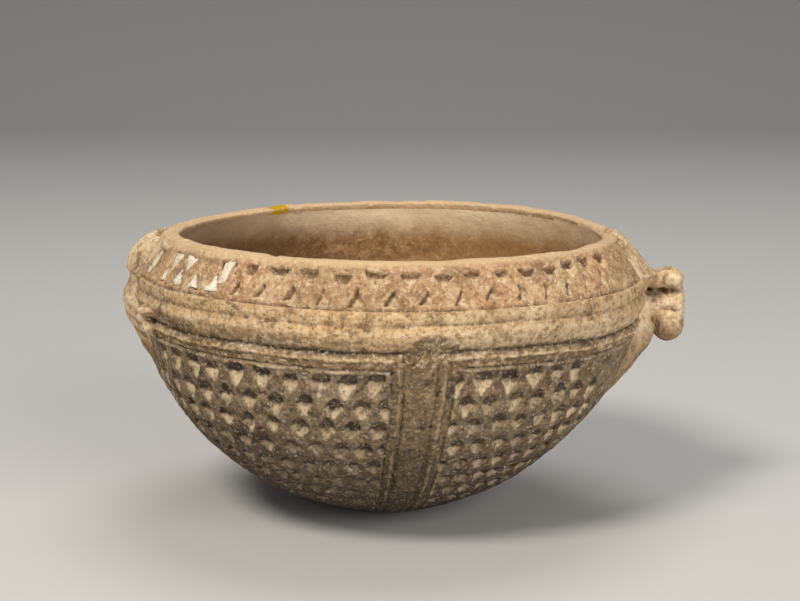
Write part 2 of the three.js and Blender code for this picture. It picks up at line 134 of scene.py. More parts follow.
# How much the lip rises above its level at turns about the axis
LIP_RISE = (
    (-160, 0), (-20, 0), (8, -0.2), (22, 0.4), (42, 1.2), (55, 1.5), (73, 1.2), (90, 0.9),
    (119, 0.6), (140, -0.3), (157, -0.9), (178, -0.7),
)

# Ribs between the panels: turns about the axis and, from their left, the strips' widths
RIB_TURNS = (-82.7, 97.3)
RIB_TOP_HALF = 7.3
RIB_FOOT_HALF = 5.5
LEFT_STRIP = 3.2
RIGHT_STRIP = 4.6

# Carved rows, from the top of the panels down
PIT_ROW_HEIGHTS = (43.4, 37.7, 32.2, 26.6, 21.4, 16.9, 12.9, 9.4)

# Notches of the collar on one side, as turns; the other side repeats them half round
NOTCH_COUNT = 18
UPPER_NOTCH_START = -149.1
LOWER_NOTCH_START = -151.4
UPPER_NOTCH_STEP = 6.98
LOWER_NOTCH_STEP = 6.9
NOTCH_DRIFT = 1.3
UPPER_NOTCH_RISE = 6.5
LOWER_NOTCH_RISE = 3.9

# Upright groove beside the broken lug, which still holds its paste
GROOVE_TURN = -159.8
GROOVE_RISE = 5.4
GROOVE_LEAN = 0.18
GROOVE_HALF = (1.4, 3.9)

# Where a flake of clay is missing from the front left panel
SCAR_TURN = -123.5
SCAR_HEIGHT = 19.0

# Paste: how it shrank as it dried, how far it lies below the face and how thick it is
PASTE_SHRUNK = 0.94
PASTE_SUNK = 0.12
PASTE_THICKNESS = 0.7

# Yellow stain on the far lip: turn and radius, and its reach in degrees and millimetres
STAIN_PLACE = (126, 52.3)
STAIN_REACH = (3.4, 1.9)

# The inner clay's colour goes this deep into the wall and ends this far under the lip
INNER_PAINT_DEPTH = 1.6
LIP_BARE = 1.3

# The shoulder stands a little higher at the broken lug, and the belly hangs towards it
SHOULDER_TILT = 0.013
BELLY_SHIFT = 1.3

RNG_SEED = 1207

# Stage, in metres, with the lamps' watts and tints
CAMERA_PLACE = (0.00228, -0.450, 0.12862)
CAMERA_TILT = 80.328
CAMERA_LENS = 82.93
LAMP_AIM = (0, 0, 0.035)
LAMPS = (
    ("key", (-0.45, -0.7, 0.9), 0.35, 10.8, "#fff8ee"),
    ("fill", (0.6, -0.85, 0.42), 0.7, 7.5, "#fbf6f2"),
    ("top", (0.1, 0.3, 1.15), 0.7, 5.2, "#ffffff"),
)
WORLD_STRENGTH = 0.22
BACKDROP_LINE = ((-3, -2, 0), (-3, 1.2, 0), (-3, 1.7, 0.12), (-3, 1.95, 0.45), (-3, 2.0, 3.0))
BACKDROP_WIDTH = 6


def length(label, description, default):
    return bpy.props.FloatProperty(
        name=label, description=description, default=default, unit="LENGTH")


def tint(label, description, default):
    """A colour as an sRGB hex value."""
    return bpy.props.StringProperty(name=label, description=description, default=default)


class JarSizes(bpy.types.PropertyGroup):
    pit_depth: length("Pit depth", "How deep the knife went into the panels", 0.0014)
    pit_width: length("Pit width", "Width of a carved diamond of the top rows", 0.0045)
    notch_depth: length("Notch depth", "Depth of the collar's triangular notches", 0.0014)
    notch_width: length("Notch width", "Width of a triangular notch", 0.0042)
    grain: length("Mesh step", "Distance between points of the carved surfaces", 0.00034)
    unevenness: length("Unevenness", "How far the hand-built wall strays from round", 0.0004)


class JarColours(bpy.types.PropertyGroup):
    collar: tint("Collar", "Pinkish-brown clay of the collar", "#a28460")
    ochre: tint("Ochre", "Yellow ochre clay of the shoulder", "#bf9c6d")
    panel: tint("Panels", "Grey-brown clay of the carved panels", "#84735a")
    # The soot tone is blue-black residue together with painted shade on faces that look down, in
    # the pits' roofs, the notches' slits, the grooves and the lugs' recesses
    soot: tint("Soot", "Blue-black residue under the knife's edges", "#2f2c28")
    crust: tint("Crust", "Pale lime crust on faces that look up", "#dcc6a2")
    inside: tint("Inside", "Clay of the inside", "#98754d")
    lug: tint("Lugs", "Rubbed clay of the lugs", "#e2c6a0")
    paste: tint("Paste", "White paste pressed into the notches", "#ece3cf")


def sizes():
    return bpy.context.scene.jar_sizes


def colours():
    return bpy.context.scene.jar_colours


# Curves and noise

def smooth_through(knots, per_span=24):
    """A smooth line through the knots, which keeps them all."""
    points = np.array(knots, float)
    ends = np.vstack([2 * points[0] - points[1], points, 2 * points[-1] - points[-2]])
    t = np.linspace(0, 1, per_span, endpoint=False)[:, None]
    runs = []
    for a, b, c, d in zip(ends[:-3], ends[1:-2], ends[2:-1], ends[3:]):
        runs.append(0.5 * (2 * b + (c - a) * t + (2 * a - 5 * b + 4 * c - d) * t ** 2
                           + (3 * b - a - 3 * c + d) * t ** 3))
    return np.vstack(runs + [points[-1:]])


def smoothstep(low, high, value):
    t = np.clip((value - low) / (high - low), 0, 1)
    return t * t * (3 - 2 * t)


class Wall:
    """An outline with its length, so that points can be found by their way up it."""

    def __init__(self, points):
        self.points = np.array(points, float)
        steps = np.hypot(*np.diff(self.points, axis=0).T)
        self.up = np.concatenate([[0], np.cumsum(steps)])
        along = np.gradient(self.points, self.up, axis=0)
        along /= np.hypot(*along.T)[:, None]
        self.normal = np.column_stack([along[:, 1], -along[:, 0]])
        self.length = self.up[-1]

    def at(self, up):
        radius = np.interp(up, self.up, self.points[:, 0])
        height = np.interp(up, self.up, self.points[:, 1])
        across = np.interp(up, self.up, self.normal[:, 0])
        rise = np.interp(up, self.up, self.normal[:, 1])
        return radius, height, across, rise

    def up_to(self, height):
        return float(np.interp(height, self.points[:, 1], self.up))


bowl_wall = Wall(smooth_through(BOWL_KNOTS))
inner_line = smooth_through(INNER_KNOTS, 10)
collar_wall = Wall(np.linspace(COLLAR_FOOT, COLLAR_TOP, 12))

noise_table = np.random.default_rng(RNG_SEED).random((32, 32, 32)) * 2 - 1


def rough(points, wavelength, shift=0.0):
    """Smooth noise from -1 to 1 at points in millimetres."""
    scaled = points / wavelength + shift
    cell = np.floor(scaled).astype(int)
    part = scaled - cell
    part = part * part * (3 - 2 * part)
    total = np.zeros(len(points))
    for corner in range(8):
        offset = np.array([corner & 1, corner >> 1 & 1, corner >> 2 & 1])
        weight = np.prod(np.where(offset, part, 1 - part), axis=1)
        i, j, k = ((cell + offset) % 32).T
        total += weight * noise_table[i, j, k]
    return total


def grit_relief(points, depth):
    """The coarse clay's own roughness."""
    fine = rough(points, 0.9, 3.1) * 0.5 + rough(points, 1.9, 7.7) * 0.8
    return depth * fine + depth * 1.6 * rough(points, 6.0, 1.2)


def on_wall(wall, turn, up):
    radius, height, _, _ = wall.at(up)
    angle = np.radians(turn)
    return np.column_stack([radius * np.cos(angle), radius * np.sin(angle), height])


def rough_on(wall, turn, up):
    """Noise over a grid of turns and ways up a wall, asked for by wavelength and shift."""
    place = on_wall(wall, turn.ravel(), up.ravel())
    return lambda wavelength, shift: rough(place, wavelength, shift).reshape(turn.shape)


def handmade(points):
    """How far the hand-built jar strays from a turned one, in millimetres."""
    reach = in_mm(sizes().unevenness)
    turn = np.arctan2(points[:, 1], points[:, 0])
    height = points[:, 2]
    swell = 0.5 * np.sin(2 * turn + 0.9) + 0.4 * np.sin(3 * turn + height / 19)
    swell += 0.3 * np.sin(5 * turn - height / 11 + 2)
    rise = 0.5 * np.sin(2 * turn + 2.2) + 0.35 * np.sin(5 * turn + 0.4)
    grown = smoothstep(4, 26, height)
    radius = np.maximum(np.hypot(points[:, 0], points[:, 1]), 1e-6)
    moved = points.copy()
    moved[:, :2] *= (1 + reach * swell * grown / radius)[:, None]
    moved[:, 0] -= BELLY_SHIFT * (1 - smoothstep(16, 46, height)) * smoothstep(0, 3, height)
    moved[:, 2] += reach * rise * grown * 0.6
    moved[:, 2] -= SHOULDER_TILT * points[:, 0] * smoothstep(22, 50, height)
    turns, rises = np.array(LIP_RISE, float).T
    lip_rise = np.interp(np.degrees(turn), turns, rises, period=360)
    moved[:, 2] += lip_rise * smoothstep(58, 69, height)
    return moved


# Carving

def turn_gap(turn, middle):
    return (turn - middle + 180) % 360 - 180


def lozenge_chip(x, y, pit):
    """How deep a point lies in a lozenge chip, from 0 at its edge to 1, and how far above
    its deepest line it is."""
    half_long = 0.5 * pit["long"]
    deep = -0.13 * pit["long"]
    roof = (half_long - y) / (half_long - deep)
    ramp = (y + half_long) / (deep + half_long)
    blunt = np.where(y > 0, (np.abs(y) / half_long) ** 2.2, 0.8 * np.abs(y) / half_long)
    side = 1 - blunt - np.abs(x) / pit["half"]
    cut = np.minimum(np.minimum(roof, ramp), side / pit["flat"])
    bowl = 1.1 - 1.1 * np.hypot(x / pit["half"], y / half_long) ** 2
    share = np.clip(cut * (1 - pit["worn"]) + bowl * pit["worn"], 0, 1)
    return share, y - deep - 0.35 * np.abs(x)


def wedge_chip(x, y, pit):
    """The same as lozenge_chip, for a chip with a blunt top and a ramp to its tip."""
    top = 0.4 * pit["long"]
    foot = pit["long"] - top
    deep = -0.08 * pit["long"]
    above = np.clip((y - deep) / (top - deep), 0, 1)
    width = np.minimum(1, 1.7 * (y + foot) / pit["long"]) * (1 - 0.35 * above ** 2)
    side = (width - np.abs(x) / pit["half"]) / (0.7 * pit["flat"])
    roof = (top - y) / (top - deep)
    share = np.clip(np.minimum(np.minimum(roof, side), (y + foot) / (deep + foot)), 0, 1)
    return share, y - deep - 0.3 * np.abs(x)


def notch_chip(x, y, notch):
    """How deep a point lies in a notch of the collar, which has steep sides and a slit under
    its edge, and how much of it belongs to the dark part, which is painted shadow in the slit
    with a dark line along the edges, and to the pale floor."""
    half_long = notch["long"] / 2
    y = y if notch["upper"] else -y
    along = np.clip((y + half_long) / notch["long"], 0, 1)
    side = (along - np.abs(x) / notch["half"] * 0.95) / 0.18
    roof = (half_long - y) / 0.3
    inside = np.clip(np.minimum(side, roof), 0, 1)
    rim = np.clip(1.2 - np.minimum(side, roof) / 1.3, 0, 1) * 0.85
    if notch["upper"]:
        slit = smoothstep(notch["shadow"] + 0.9, notch["shadow"], half_long - y)
        floor = 0.4 + 0.15 * along + 0.6 * slit
        dark = slit
    else:
        slit = smoothstep(0.35, -0.15, x / notch["half"] + along - 0.35)
        floor = 0.45 + 0.5 * slit
        shadow = 0.3 * notch["shadow"] + 0.05
        dark = np.maximum(slit, smoothstep(shadow + 0.15, shadow - 0.1, along))
    dark = np.maximum(dark, rim)
    return inside * floor, inside * dark, inside * (1 - dark)


def panel_margin(height, whole_lug):
    """Degrees left plain beside a lug: its buttress covers the wall there."""
    if whole_lug:
        return float(np.interp(height, (10, 21, 27, 32, 38, 43), (6, 12, 17, 22, 30, 38)))
    return float(np.interp(height, (10, 20, 32, 38, 43), (6, 8, 12, 14, 20)))


def pit_list():
    """Every pit of the panels as a dict, with the small differences of handwork."""
    draw = np.random.default_rng(RNG_SEED + 1)
    full_width, full_depth = in_mm(sizes().pit_width), in_mm(sizes().pit_depth)
    pits = []
    for side in range(2):
        for left in (True, False):
            middle = RIB_TURNS[side]
            away = -1 if left else 1
            whole_lug = left == bool(side)
            for row, height in enumerate(PIT_ROW_HEIGHTS):
                up = bowl_wall.up_to(height)
                radius = float(bowl_wall.at(up)[0])
                share = row / (len(PIT_ROW_HEIGHTS) - 1)
                edge = math.degrees(rib_half_width(height) / radius)
                near_step = max((5.9 - 0.3 * row) if left else 6.2, math.degrees(4.4 / radius))
                far_step = max(7.0 if left else 6.3, math.degrees(4.5 / radius))
                halved = (row % 2 == 1) if left else (row % 2 == 0)
                turn = edge + near_step * (1.05 if halved else 0.5)
                last = 90 - away * turn_gap(middle, -90 + 180 * side)
                last -= panel_margin(height, whole_lug)
                if halved:
                    turn -= near_step
                count = 0
                while turn < last:
                    width = full_width * (1 - 0.24 * share) * draw.uniform(0.9, 1.12)
                    pits.append({
                        "turn": middle + away * (turn + draw.uniform(-0.35, 0.35)),
                        "up": up + draw.uniform(-0.35, 0.35),
                        "half": width / 2,
                        "long": (6.4 - 2.2 * share) * draw.uniform(0.9, 1.1),
                        "lean": draw.uniform(-0.12, 0.12) + (0.08 if left else -0.08),
                        "depth": full_depth * (1 - 0.3 * share) * draw.uniform(0.8, 1.12),
                        "worn": min(max(0.9 * share - 0.4 + draw.uniform(-0.12, 0.2), 0), 0.6),
                        "flat": draw.uniform(0.3, 0.55),
                        "wedge": row == 0,
                        "pale": draw.uniform(0.6, 1.0) * (1 - 0.45 * share),
                        "stain": draw.uniform(0.6, 0.95),
                    })
                    count += 1
                    turn += near_step + (far_step - near_step) * float(smoothstep(0, 4, count))
                    turn += draw.uniform(-0.2, 0.2)
    return pits


def rib_half_width(height):
    share = np.clip(height / PANEL_TOP, 0, 1)
    return RIB_FOOT_HALF + (RIB_TOP_HALF - RIB_FOOT_HALF) * share


def rib_offset(turn, up):
    """Millimetres from the middle of the nearest rib, and that rib's half width."""
    radius, height, _, _ = bowl_wall.at(up)
    gaps = np.stack([turn_gap(turn, middle) for middle in RIB_TURNS])
    nearest = np.abs(gaps).argmin(axis=0)
    gap = np.take_along_axis(gaps, nearest[None], axis=0)[0]
    return np.radians(gap) * radius, rib_half_width(height)


def soft_line(profile, value, softness):
    """A profile read at a value, softened as a wet finger leaves clay."""
    places, stands = np.array(profile, float).T
    fine = np.linspace(places[0] - 3 * softness, places[-1] + 3 * softness, 900)
    line = np.interp(fine, places, stands)
    width = fine[1] - fine[0]
    reach = max(int(2.5 * softness / width), 1)
    kernel = np.exp(-(np.arange(-reach, reach + 1) * width / softness) ** 2)
    soft = np.convolve(np.pad(line, reach, mode="edge"), kernel / kernel.sum(), mode="valid")
    return np.interp(value, fine, soft)


def frame_share(turn, up, wave=0.0):
    """Share of the way across the frame strip of the nearest panel: below 0 in the panel,
    over 1 beyond the strip. Both strips of a corner meet at a mitre."""
    height = bowl_wall.at(up)[1] + wave
    across, half = rib_offset(turn, up)
    above = (height - PANEL_TOP) / STRIP_HEIGHT
    strip = np.where(across < 0, LEFT_STRIP, RIGHT_STRIP) * half / RIB_TOP_HALF
    beside = (half - np.abs(across)) / strip
    return above, beside


def bump(value, middle, width):
    """1 at the middle, falling to 0 a width away."""
    return np.exp(-((value - middle) / width) ** 2)


def bowl_relief(turn, up):
    """Stand-out of the bowl and the shoulder, with how grey-brown, dark and pale they are."""
    place = on_wall(bowl_wall, turn, up)
    angle = np.radians(turn)
    fine = rough(place, 1.0, 4.9)
    crumb = 0.6 * fine + 0.6 * rough(place, 1.8, 9.4)
    long_wave = rough(place, 6.0, 0.7)
    wave = 0.2 * np.sin(3 * angle + 1.3) + 0.14 * np.sin(7 * angle) + 0.2 * long_wave
    wave += 0.12 * rough(place, 2.8, 4.9)
    level = place[:, 2] + wave - PANEL_TOP
    sunk = 0.6 * bump(turn_gap(turn, -42), 0, 30)
    wave = wave + sunk * smoothstep(12.5, 10.5, level)
    level = place[:, 2] + wave - PANEL_TOP
    loose = np.interp(
        level, (0, 0.4, 1.8, 2.3, 3.7, 4.2, 7.6, 8.1), (0.3, 1, 1, 0.2, 0.3, 1, 0.8, 0.15))
    level = level + loose * 0.24 * crumb
    above, beside = frame_share(turn, up, wave + loose * 0.2 * crumb)
    beside = beside + 0.05 * rough(place, 5.0, 2.2) + 0.025 * crumb
    share = np.maximum(above, beside)
    upright = beside > above
    beside_strength = 0.65 * smoothstep(1, 12, place[:, 2])
    strength = np.where(upright, beside_strength, 0.9 + 0.3 * rough(place, 4.0, 13.0))
    strip_relief = soft_line(FRAME_PROFILE, np.minimum(share, FRAME_END), 0.035) * strength
    cordon = soft_line(CORDON_PROFILE, level, 0.2)
    worn_groove = np.clip(0.3 + 0.6 * rough(place, 5.0, 6.4), 0, 1)
    fine_groove = bump(level, 10.2, 0.5) + bump(level, 13.4, 0.5)
    cordon += 0.45 * worn_groove * fine_groove
    across, _ = rib_offset(turn, up)
    band = 0.5 + 0.14 * rough(place, 3.0, 5.5)
    rise = 1.55 * smoothstep(3, 8.2, level)
    middle = band + rise
    into_band = smoothstep(FRAME_END, 1.28, beside)
    below = (1 - into_band) * strip_relief + into_band * middle
    over = smoothstep(4.15, 4.45, level)
    neck = smoothstep(1.0, 1.25, beside) * (1 - smoothstep(7.4, 8.4, level))
    upper = cordon * (1 - neck) + middle * neck
    relief = below * (1 - over) + upper * over
    dome = 1 - np.hypot((across - 1.9) / 5.9, (level - 3.9) / 4.5)
    patch = smoothstep(0.0, 0.25, dome + 0.06 * crumb) * smoothstep(3.2, 4.4, level)
    smeared = 0.65 + rise + 0.15 * rough(place, 1.5, 3.3)
    relief = relief * (1 - patch) + smeared * patch
    relief += 0.13 * crumb * loose * (share > 0)
    relief += 0.1 * fine * np.maximum(patch, into_band * (1 - over))

    # Grey-brown, dark and pale parts follow the strips and are broken up like the clay
    broken = smoothstep(-0.5, 0.25, 0.7 * fine + 0.7 * rough(place, 3.0, 21.0))
    sparse = smoothstep(-0.2, 0.45, 0.6 * fine + 0.8 * rough(place, 4.0, 11.0))
    strip = np.clip(share, -1, FRAME_END) * STRIP_HEIGHT
    in_frame = 1 - over
    turns, greys = np.array(CORDON_SHADE, float).T
    grey = np.interp(turn, turns, greys, period=360)
    # From 2.9 mm up the strip, its slope down into the deep groove is painted shade of the groove,
    # with soil
    strip_shade = np.interp(
        strip, (-0.6, 0.2, 0.5, 1.8, 2.05, 2.6, 2.9, 3.9, 4.4),
        (1, 0.6, 0.9, 0.9, 0.1, 0.1, 0.85, 1, 1))
    cordon_shade = np.interp(level, (4.2, 4.6, 5.4, 7.4, 8.1, 8.3), (1, 0.9, 0.7, 0.5, 0.15, 0))
    cordon_shade = cordon_shade * np.where(level < 4.6, 1, 1.7 * grey)
    shade = strip_shade * (0.7 + 0.3 * broken) * in_frame
    shade = np.maximum(shade + cordon_shade * (0.4 + 0.6 * sparse) * over, patch)
    shade = np.maximum(shade, smoothstep(0, 0.1, beside) * in_frame * 0.9)
    # Painted shade along the deep groove between the strip and the cordon
    groove_line = np.where(upright, 0.3, 0.8) * (0.5 + 0.5 * broken)
    near_left = bump(turn_gap(turn, -108), 0, 22)
    soot = in_frame * (0.5 * bump(strip, 0, 0.26) * broken + 0.25 * bump(strip, 1.2, 0.9) * sparse)
    # Painted shade on the slope down into the deep groove, strongest a little left of the front
    soot += (0.3 + 0.3 * near_left) * bump(strip, 3.5, 0.65) * in_frame * ~upright
    groove_line = groove_line * bump(share * STRIP_HEIGHT, 4.05, 0.38)
    soot += groove_line * (1 - into_band) * in_frame * (1 - patch)
    # Under the cordon: painted shade in the deep groove, with grey-brown residue patches lower
    # down
    under = 0.75 * (0.5 + 0.5 * broken) * bump(level, 4.3, 0.4)
    under += 0.4 * bump(level, 5.4, 1.2) * grey * sparse
    soot += over * under * (1 - neck) * (1 - patch)
    soot += 0.35 * bump(level, 10.25, 0.3) * (0.3 + 0.7 * sparse)
    soot += 0.45 * bump(level, 7.5, 0.35) * smoothstep(0.6, 0.8, grey) * broken
    soot += 0.3 * into_band * in_frame * sparse + patch * (0.2 + 0.3 * sparse)
    soot += 0.75 * bump(dome, 0.06, 0.09) * (level > 3.8) * broken
    edge_line = np.where(upright, np.where(across > 0, 0.8, 0.5), 0.85)
    strip_edges = bump(strip, -0.5, 0.26) + 0.9 * bump(strip, 2.45, 0.3)
    crust = in_frame * edge_line * strip_edges * broken
    pale_side = 0.95 * bump(level, 6.3, 1.6) * (1 - grey) ** 2 * (0.45 + 0.55 * sparse)
    crust += over * (0.4 * bump(level, 8.6, 0.8) + pale_side) * (1 - patch)
    crust += 0.35 * bump(level, 11.6, 1.0) * (0.4 + 0.6 * sparse)
    settled = smoothstep(0.5, 6, place[:, 2])
    return {
        "stand": relief * settled,
        "shade": np.clip(shade, 0, 1),
        "soot": np.clip(soot, 0, 1) * settled,
        "crust": np.clip(crust, 0, 1) * settled,
    }


def carved(turn, up, pits):
    """Depth of the pits as a negative stand-out with the knife's burr, with their dark roofs,
    which are residue with painted shade, and their pale ramps."""
    uneven = rough_on(bowl_wall, turn, up)
    shake_x = 0.24 * uneven(2.2, 4.1) + 0.12 * uneven(0.9, 6.3)
    shake_y = 0.3 * uneven(2.4, 8.4) + 0.16 * uneven(0.9, 1.9)
    grain = uneven(0.7, 5.9)
    cut, burr, soot, crust = np.zeros((4, *turn.shape))
    for pit in pits:
        rows = slice(*np.searchsorted(up[0], (pit["up"] - 4, pit["up"] + 4)))
        radius = float(bowl_wall.at(pit["up"])[0])
        reach = math.degrees(4.2 / radius)
        middle = (pit["turn"] + 180) % 360 - 180
        columns = np.abs(turn_gap(turn[:, 0], middle)) < reach
        window = np.ix_(columns, np.arange(rows.start, rows.stop))
        y = up[window] - pit["up"] + shake_y[window]
        gap = turn_gap(turn[window], middle)
        x = np.radians(gap) * bowl_wall.at(up[window])[0] - pit["lean"] * y + shake_x[window]
        share, roof = (wedge_chip if pit["wedge"] else lozenge_chip)(x, y, pit)
        cut[window] = np.minimum(cut[window], -pit["depth"] * share)
        inside = np.clip(share * 6, 0, 1)
        roof = roof + 0.45 * grain[window]
        # The roofs under the knife's edge get residue with painted shade, the ramps pale crust
        dark = inside * smoothstep(-0.15, 0.45, roof) * pit["stain"]
        pale = inside * smoothstep(0.2, -0.25, roof) * pit["pale"]
        soot[window] = np.maximum(soot[window], dark)
        crust[window] = np.maximum(crust[window], pale)
        ring = np.hypot(x / (pit["half"] + 0.4), y / (pit["long"] / 2 + 0.4))
        burr[window] = np.maximum(burr[window], 0.12 * np.exp(-((ring - 1) / 0.22) ** 2))
    across, half = rib_offset(turn.ravel(), up.ravel())
    clear = smoothstep(0.1, 0.5, np.abs(across) - half).reshape(turn.shape)
    clear = clear * (1 - smoothstep(PANEL_TOP - 1.1, PANEL_TOP - 0.7, bowl_wall.at(up)[1]))
    return (cut + burr * (cut > -0.05)) * clear, soot * clear, crust * clear


def notch_turns():
    """Turns of the upper and the lower notches of one side."""
    order = np.arange(NOTCH_COUNT)
    first = 1.2 * np.exp(-order / 1.2)
    upper = UPPER_NOTCH_START + UPPER_NOTCH_STEP * order
    lower = LOWER_NOTCH_START + LOWER_NOTCH_STEP * order
    upper = upper + NOTCH_DRIFT * np.sin(np.radians(24) * (order - 7.6)) + first
    lower = lower + NOTCH_DRIFT * np.sin(np.radians(24) * (order - 9)) + first
    return upper, lower


def notch_list():
    """Every notch of the collar as a dict, with the small differences of handwork."""
    draw = np.random.default_rng(RNG_SEED + 2)
    width = in_mm(sizes().notch_width)
    depth = in_mm(sizes().notch_depth)
    notches = []
    for half_turn in (0, 180):
        for row, turns in enumerate(notch_turns()):
            for i, turn in enumerate(turns):
                upper = row == 0
                filled = upper and i == 2
                rise = UPPER_NOTCH_RISE if upper else LOWER_NOTCH_RISE
                higher = (1.0 if upper else 1.5) * float(smoothstep(-52, -28, turn))
                notches.append({
                    "turn": turn + half_turn,
                    "upper": upper,
                    "up": rise + draw.uniform(-0.35, 0.35) + higher,
                    "half": width / 2 * draw.uniform(0.85, 1.15) * (1.05 if upper else 0.92),
                    "long": (5.4 if upper else 4.1) * draw.uniform(0.85, 1.15),
                    "lean": draw.uniform(-0.16, 0.16),
                    "shadow": draw.uniform(0.6, 1.8),
                    "depth": depth * draw.uniform(0.75, 1.2) * (0.25 if filled else 1),
                    "stain": 0 if filled else draw.uniform(0.4, 0.8),
                    "pale": 0 if filled else draw.uniform(0.55, 1.0),
                })
    return notches


def collar_fields(turn, up):
    """Stand-out of the collar with its notches, their slits darkened with painted shadow and
    their pale floors.
    """
    uneven = rough_on(collar_wall, turn, up)
    relief = 0.25 * uneven(14.0, 1.1) + 0.16 * uneven(5.0, 3.3)
    shake_x = 0.3 * uneven(2.2, 4.7) + 0.18 * uneven(0.9, 6.1)
    shake_y = 0.3 * uneven(2.4, 8.1) + 0.18 * uneven(0.9, 2.9)
    cut, soot, crust = np.zeros((3, *turn.shape))
    for notch in notch_list():
        middle = (notch["turn"] + 180) % 360 - 180
        columns = np.abs(turn_gap(turn[:, 0], middle)) < 4.2
        y = up[columns] - notch["up"] + shake_y[columns]
        x = np.radians(turn_gap(turn[columns], middle)) * collar_wall.at(up[columns])[0]
        x = x - notch["lean"] * y + shake_x[columns]
        depth, dark, floor = notch_chip(x, y, notch)
        cut[columns] = np.minimum(cut[columns], -notch["depth"] * depth)
        # The slits' dark is painted shadow, with a dark line along the notch's edges
        soot[columns] = np.maximum(soot[columns], dark * notch["stain"])
        crust[columns] = np.maximum(crust[columns], floor * notch["pale"])
    y = up - GROOVE_RISE
    x = np.radians(turn_gap(turn, GROOVE_TURN)) * collar_wall.at(up)[0] - GROOVE_LEAN * y
    half_wide, half_high = GROOVE_HALF
    groove = np.minimum((half_wide - np.abs(x)) / 0.3, (half_high - np.abs(y)) / 0.6)
    cut = np.minimum(cut, -0.5 * np.clip(groove, 0, 1))
    fine = uneven(0.9, 5.1)
    coarse = uneven(2.4, 15.1)
    relief += 0.3 * np.clip(-cut, 0, 0.6) * fine
    seam = bump(up + 0.2 * coarse, 0.4, 0.45) * np.clip(0.8 + 0.7 * coarse, 0.25, 1)
    relief -= 0.4 * seam
    scratches = bump(up + 0.15 * coarse, 1.1, 0.22) * smoothstep(0.1, 0.5, coarse + 0.4 * fine)
    relief -= 0.2 * scratches
    soot = soot * (0.6 + 0.4 * smoothstep(-0.5, 0.3, fine))
    return {
        "stand": relief + cut,
        "shade": np.zeros(turn.shape),
        "soot": np.maximum(soot, np.maximum(seam, 0.5 * scratches)),
        "crust": crust * (0.55 + 0.45 * smoothstep(-0.4, 0.2, fine)),
    }


def blur(field, along, across):
    """Gaussian blur of a field that closes on itself along its first axis."""
    for axis, size in ((0, along), (1, across)):
        reach = max(int(3 * size), 1)
        kernel = np.exp(-(np.arange(-reach, reach + 1) / size) ** 2 / 2)
        kernel /= kernel.sum()
        pad = [(0, 0), (0, 0)]
        pad[axis] = (reach, reach)
        padded = np.pad(field, pad, mode="wrap" if axis == 0 else "edge")
        total = np.zeros_like(field)
        for shift, weight in enumerate(kernel):
            part = slice(shift, shift + field.shape[axis])
            total += weight * (padded[part] if axis == 0 else padded[:, part])
        field = total
    return field


class Surface:
    """A wall's whole carved surface, worked out once, with its tilt and its hollows."""

    TURN_STEP = 0.2
    UP_STEP = 0.2

    def __init__(self, wall, work_out):
        self.wall = wall
        self.turns = np.arange(-180, 180, self.TURN_STEP)
        self.ups = np.arange(-1, wall.length + 1.5, self.UP_STEP)
        turn, up = np.meshgrid(self.turns, self.ups, indexing="ij")
        self.fields = work_out(turn, up)
        relief = self.fields["stand"]
        uneven = rough_on(wall, turn, up)
        crest = np.clip((relief - blur(relief, 3, 3)) / 0.15, 0, 1)
        chipped = smoothstep(0.1, 0.55, uneven(1.7, 12.1) + 0.5 * uneven(4.5, 3.9))
        grit = 0.1 * uneven(0.8, 3.1) + 0.1 * uneven(1.9, 7.7)
        pock = 0.3 * smoothstep(0.45, 0.75, uneven(1.1, 15.3))
        relief = relief - 0.32 * crest * chipped + grit - pock
        self.fields["stand"] = relief
        self.fields["hollow"] = blur(relief, 2.5, 2.5) - relief
        self.fields["tilt"] = np.gradient(blur(relief, 1.2, 1.2), self.UP_STEP, axis=1)

    def read(self, name, turn, up):
        field = self.fields[name]
        i = ((turn + 180) % 360) / self.TURN_STEP
        j = np.clip((up - self.ups[0]) / self.UP_STEP, 0, len(self.ups) - 1.001)
        i0, j0 = np.floor(i).astype(int), np.floor(j).astype(int)
        a, b = i - i0, j - j0
        i0, i1 = i0 % len(self.turns), (i0 + 1) % len(self.turns)
        return (field[i0, j0] * (1 - a) * (1 - b) + field[i1, j0] * a * (1 - b)
                + field[i0, j0 + 1] * (1 - a) * b + field[i1, j0 + 1] * a * b)


def bowl_fields(turn, up):
    """Stand-out of the bowl with its carving and its scar, and its stains and painted shade."""
    plain = bowl_relief(turn.ravel(), up.ravel())
    fields = {name: field.reshape(turn.shape) for name, field in plain.items()}
    cut, soot, crust = carved(turn, up, pit_list())
    torn = rough_on(bowl_wall, turn, up)(1.1, 2.3)
    arc = np.radians(turn_gap(turn, SCAR_TURN)) * bowl_wall.at(up)[0]
    rise = up - bowl_wall.up_to(SCAR_HEIGHT) + 0.3 * arc
    scar = smoothstep(0, 0.2, 1 - np.hypot(arc / 3.3, rise / 2.0) + 0.3 * torn)
    crust = np.maximum(fields["crust"], crust * (1 - scar)) * (1 - soot)
    return {
        "stand": fields["stand"] + cut * (1 - scar) + scar * (0.45 * torn - 0.5),
        "shade": fields["shade"],
        "soot": np.maximum(fields["soot"], soot) * (1 - scar),
        "crust": crust + 0.5 * scar * np.clip(torn + 0.4, 0, 1),
    }


@functools.cache
def surface(name):
    """The carved surface of the bowl or of the collar."""
    wall, work_out = {
        "bowl": (bowl_wall, bowl_fields), "collar": (collar_wall, collar_fields)}[name]
    return Surface(wall, work_out)


# Meshes

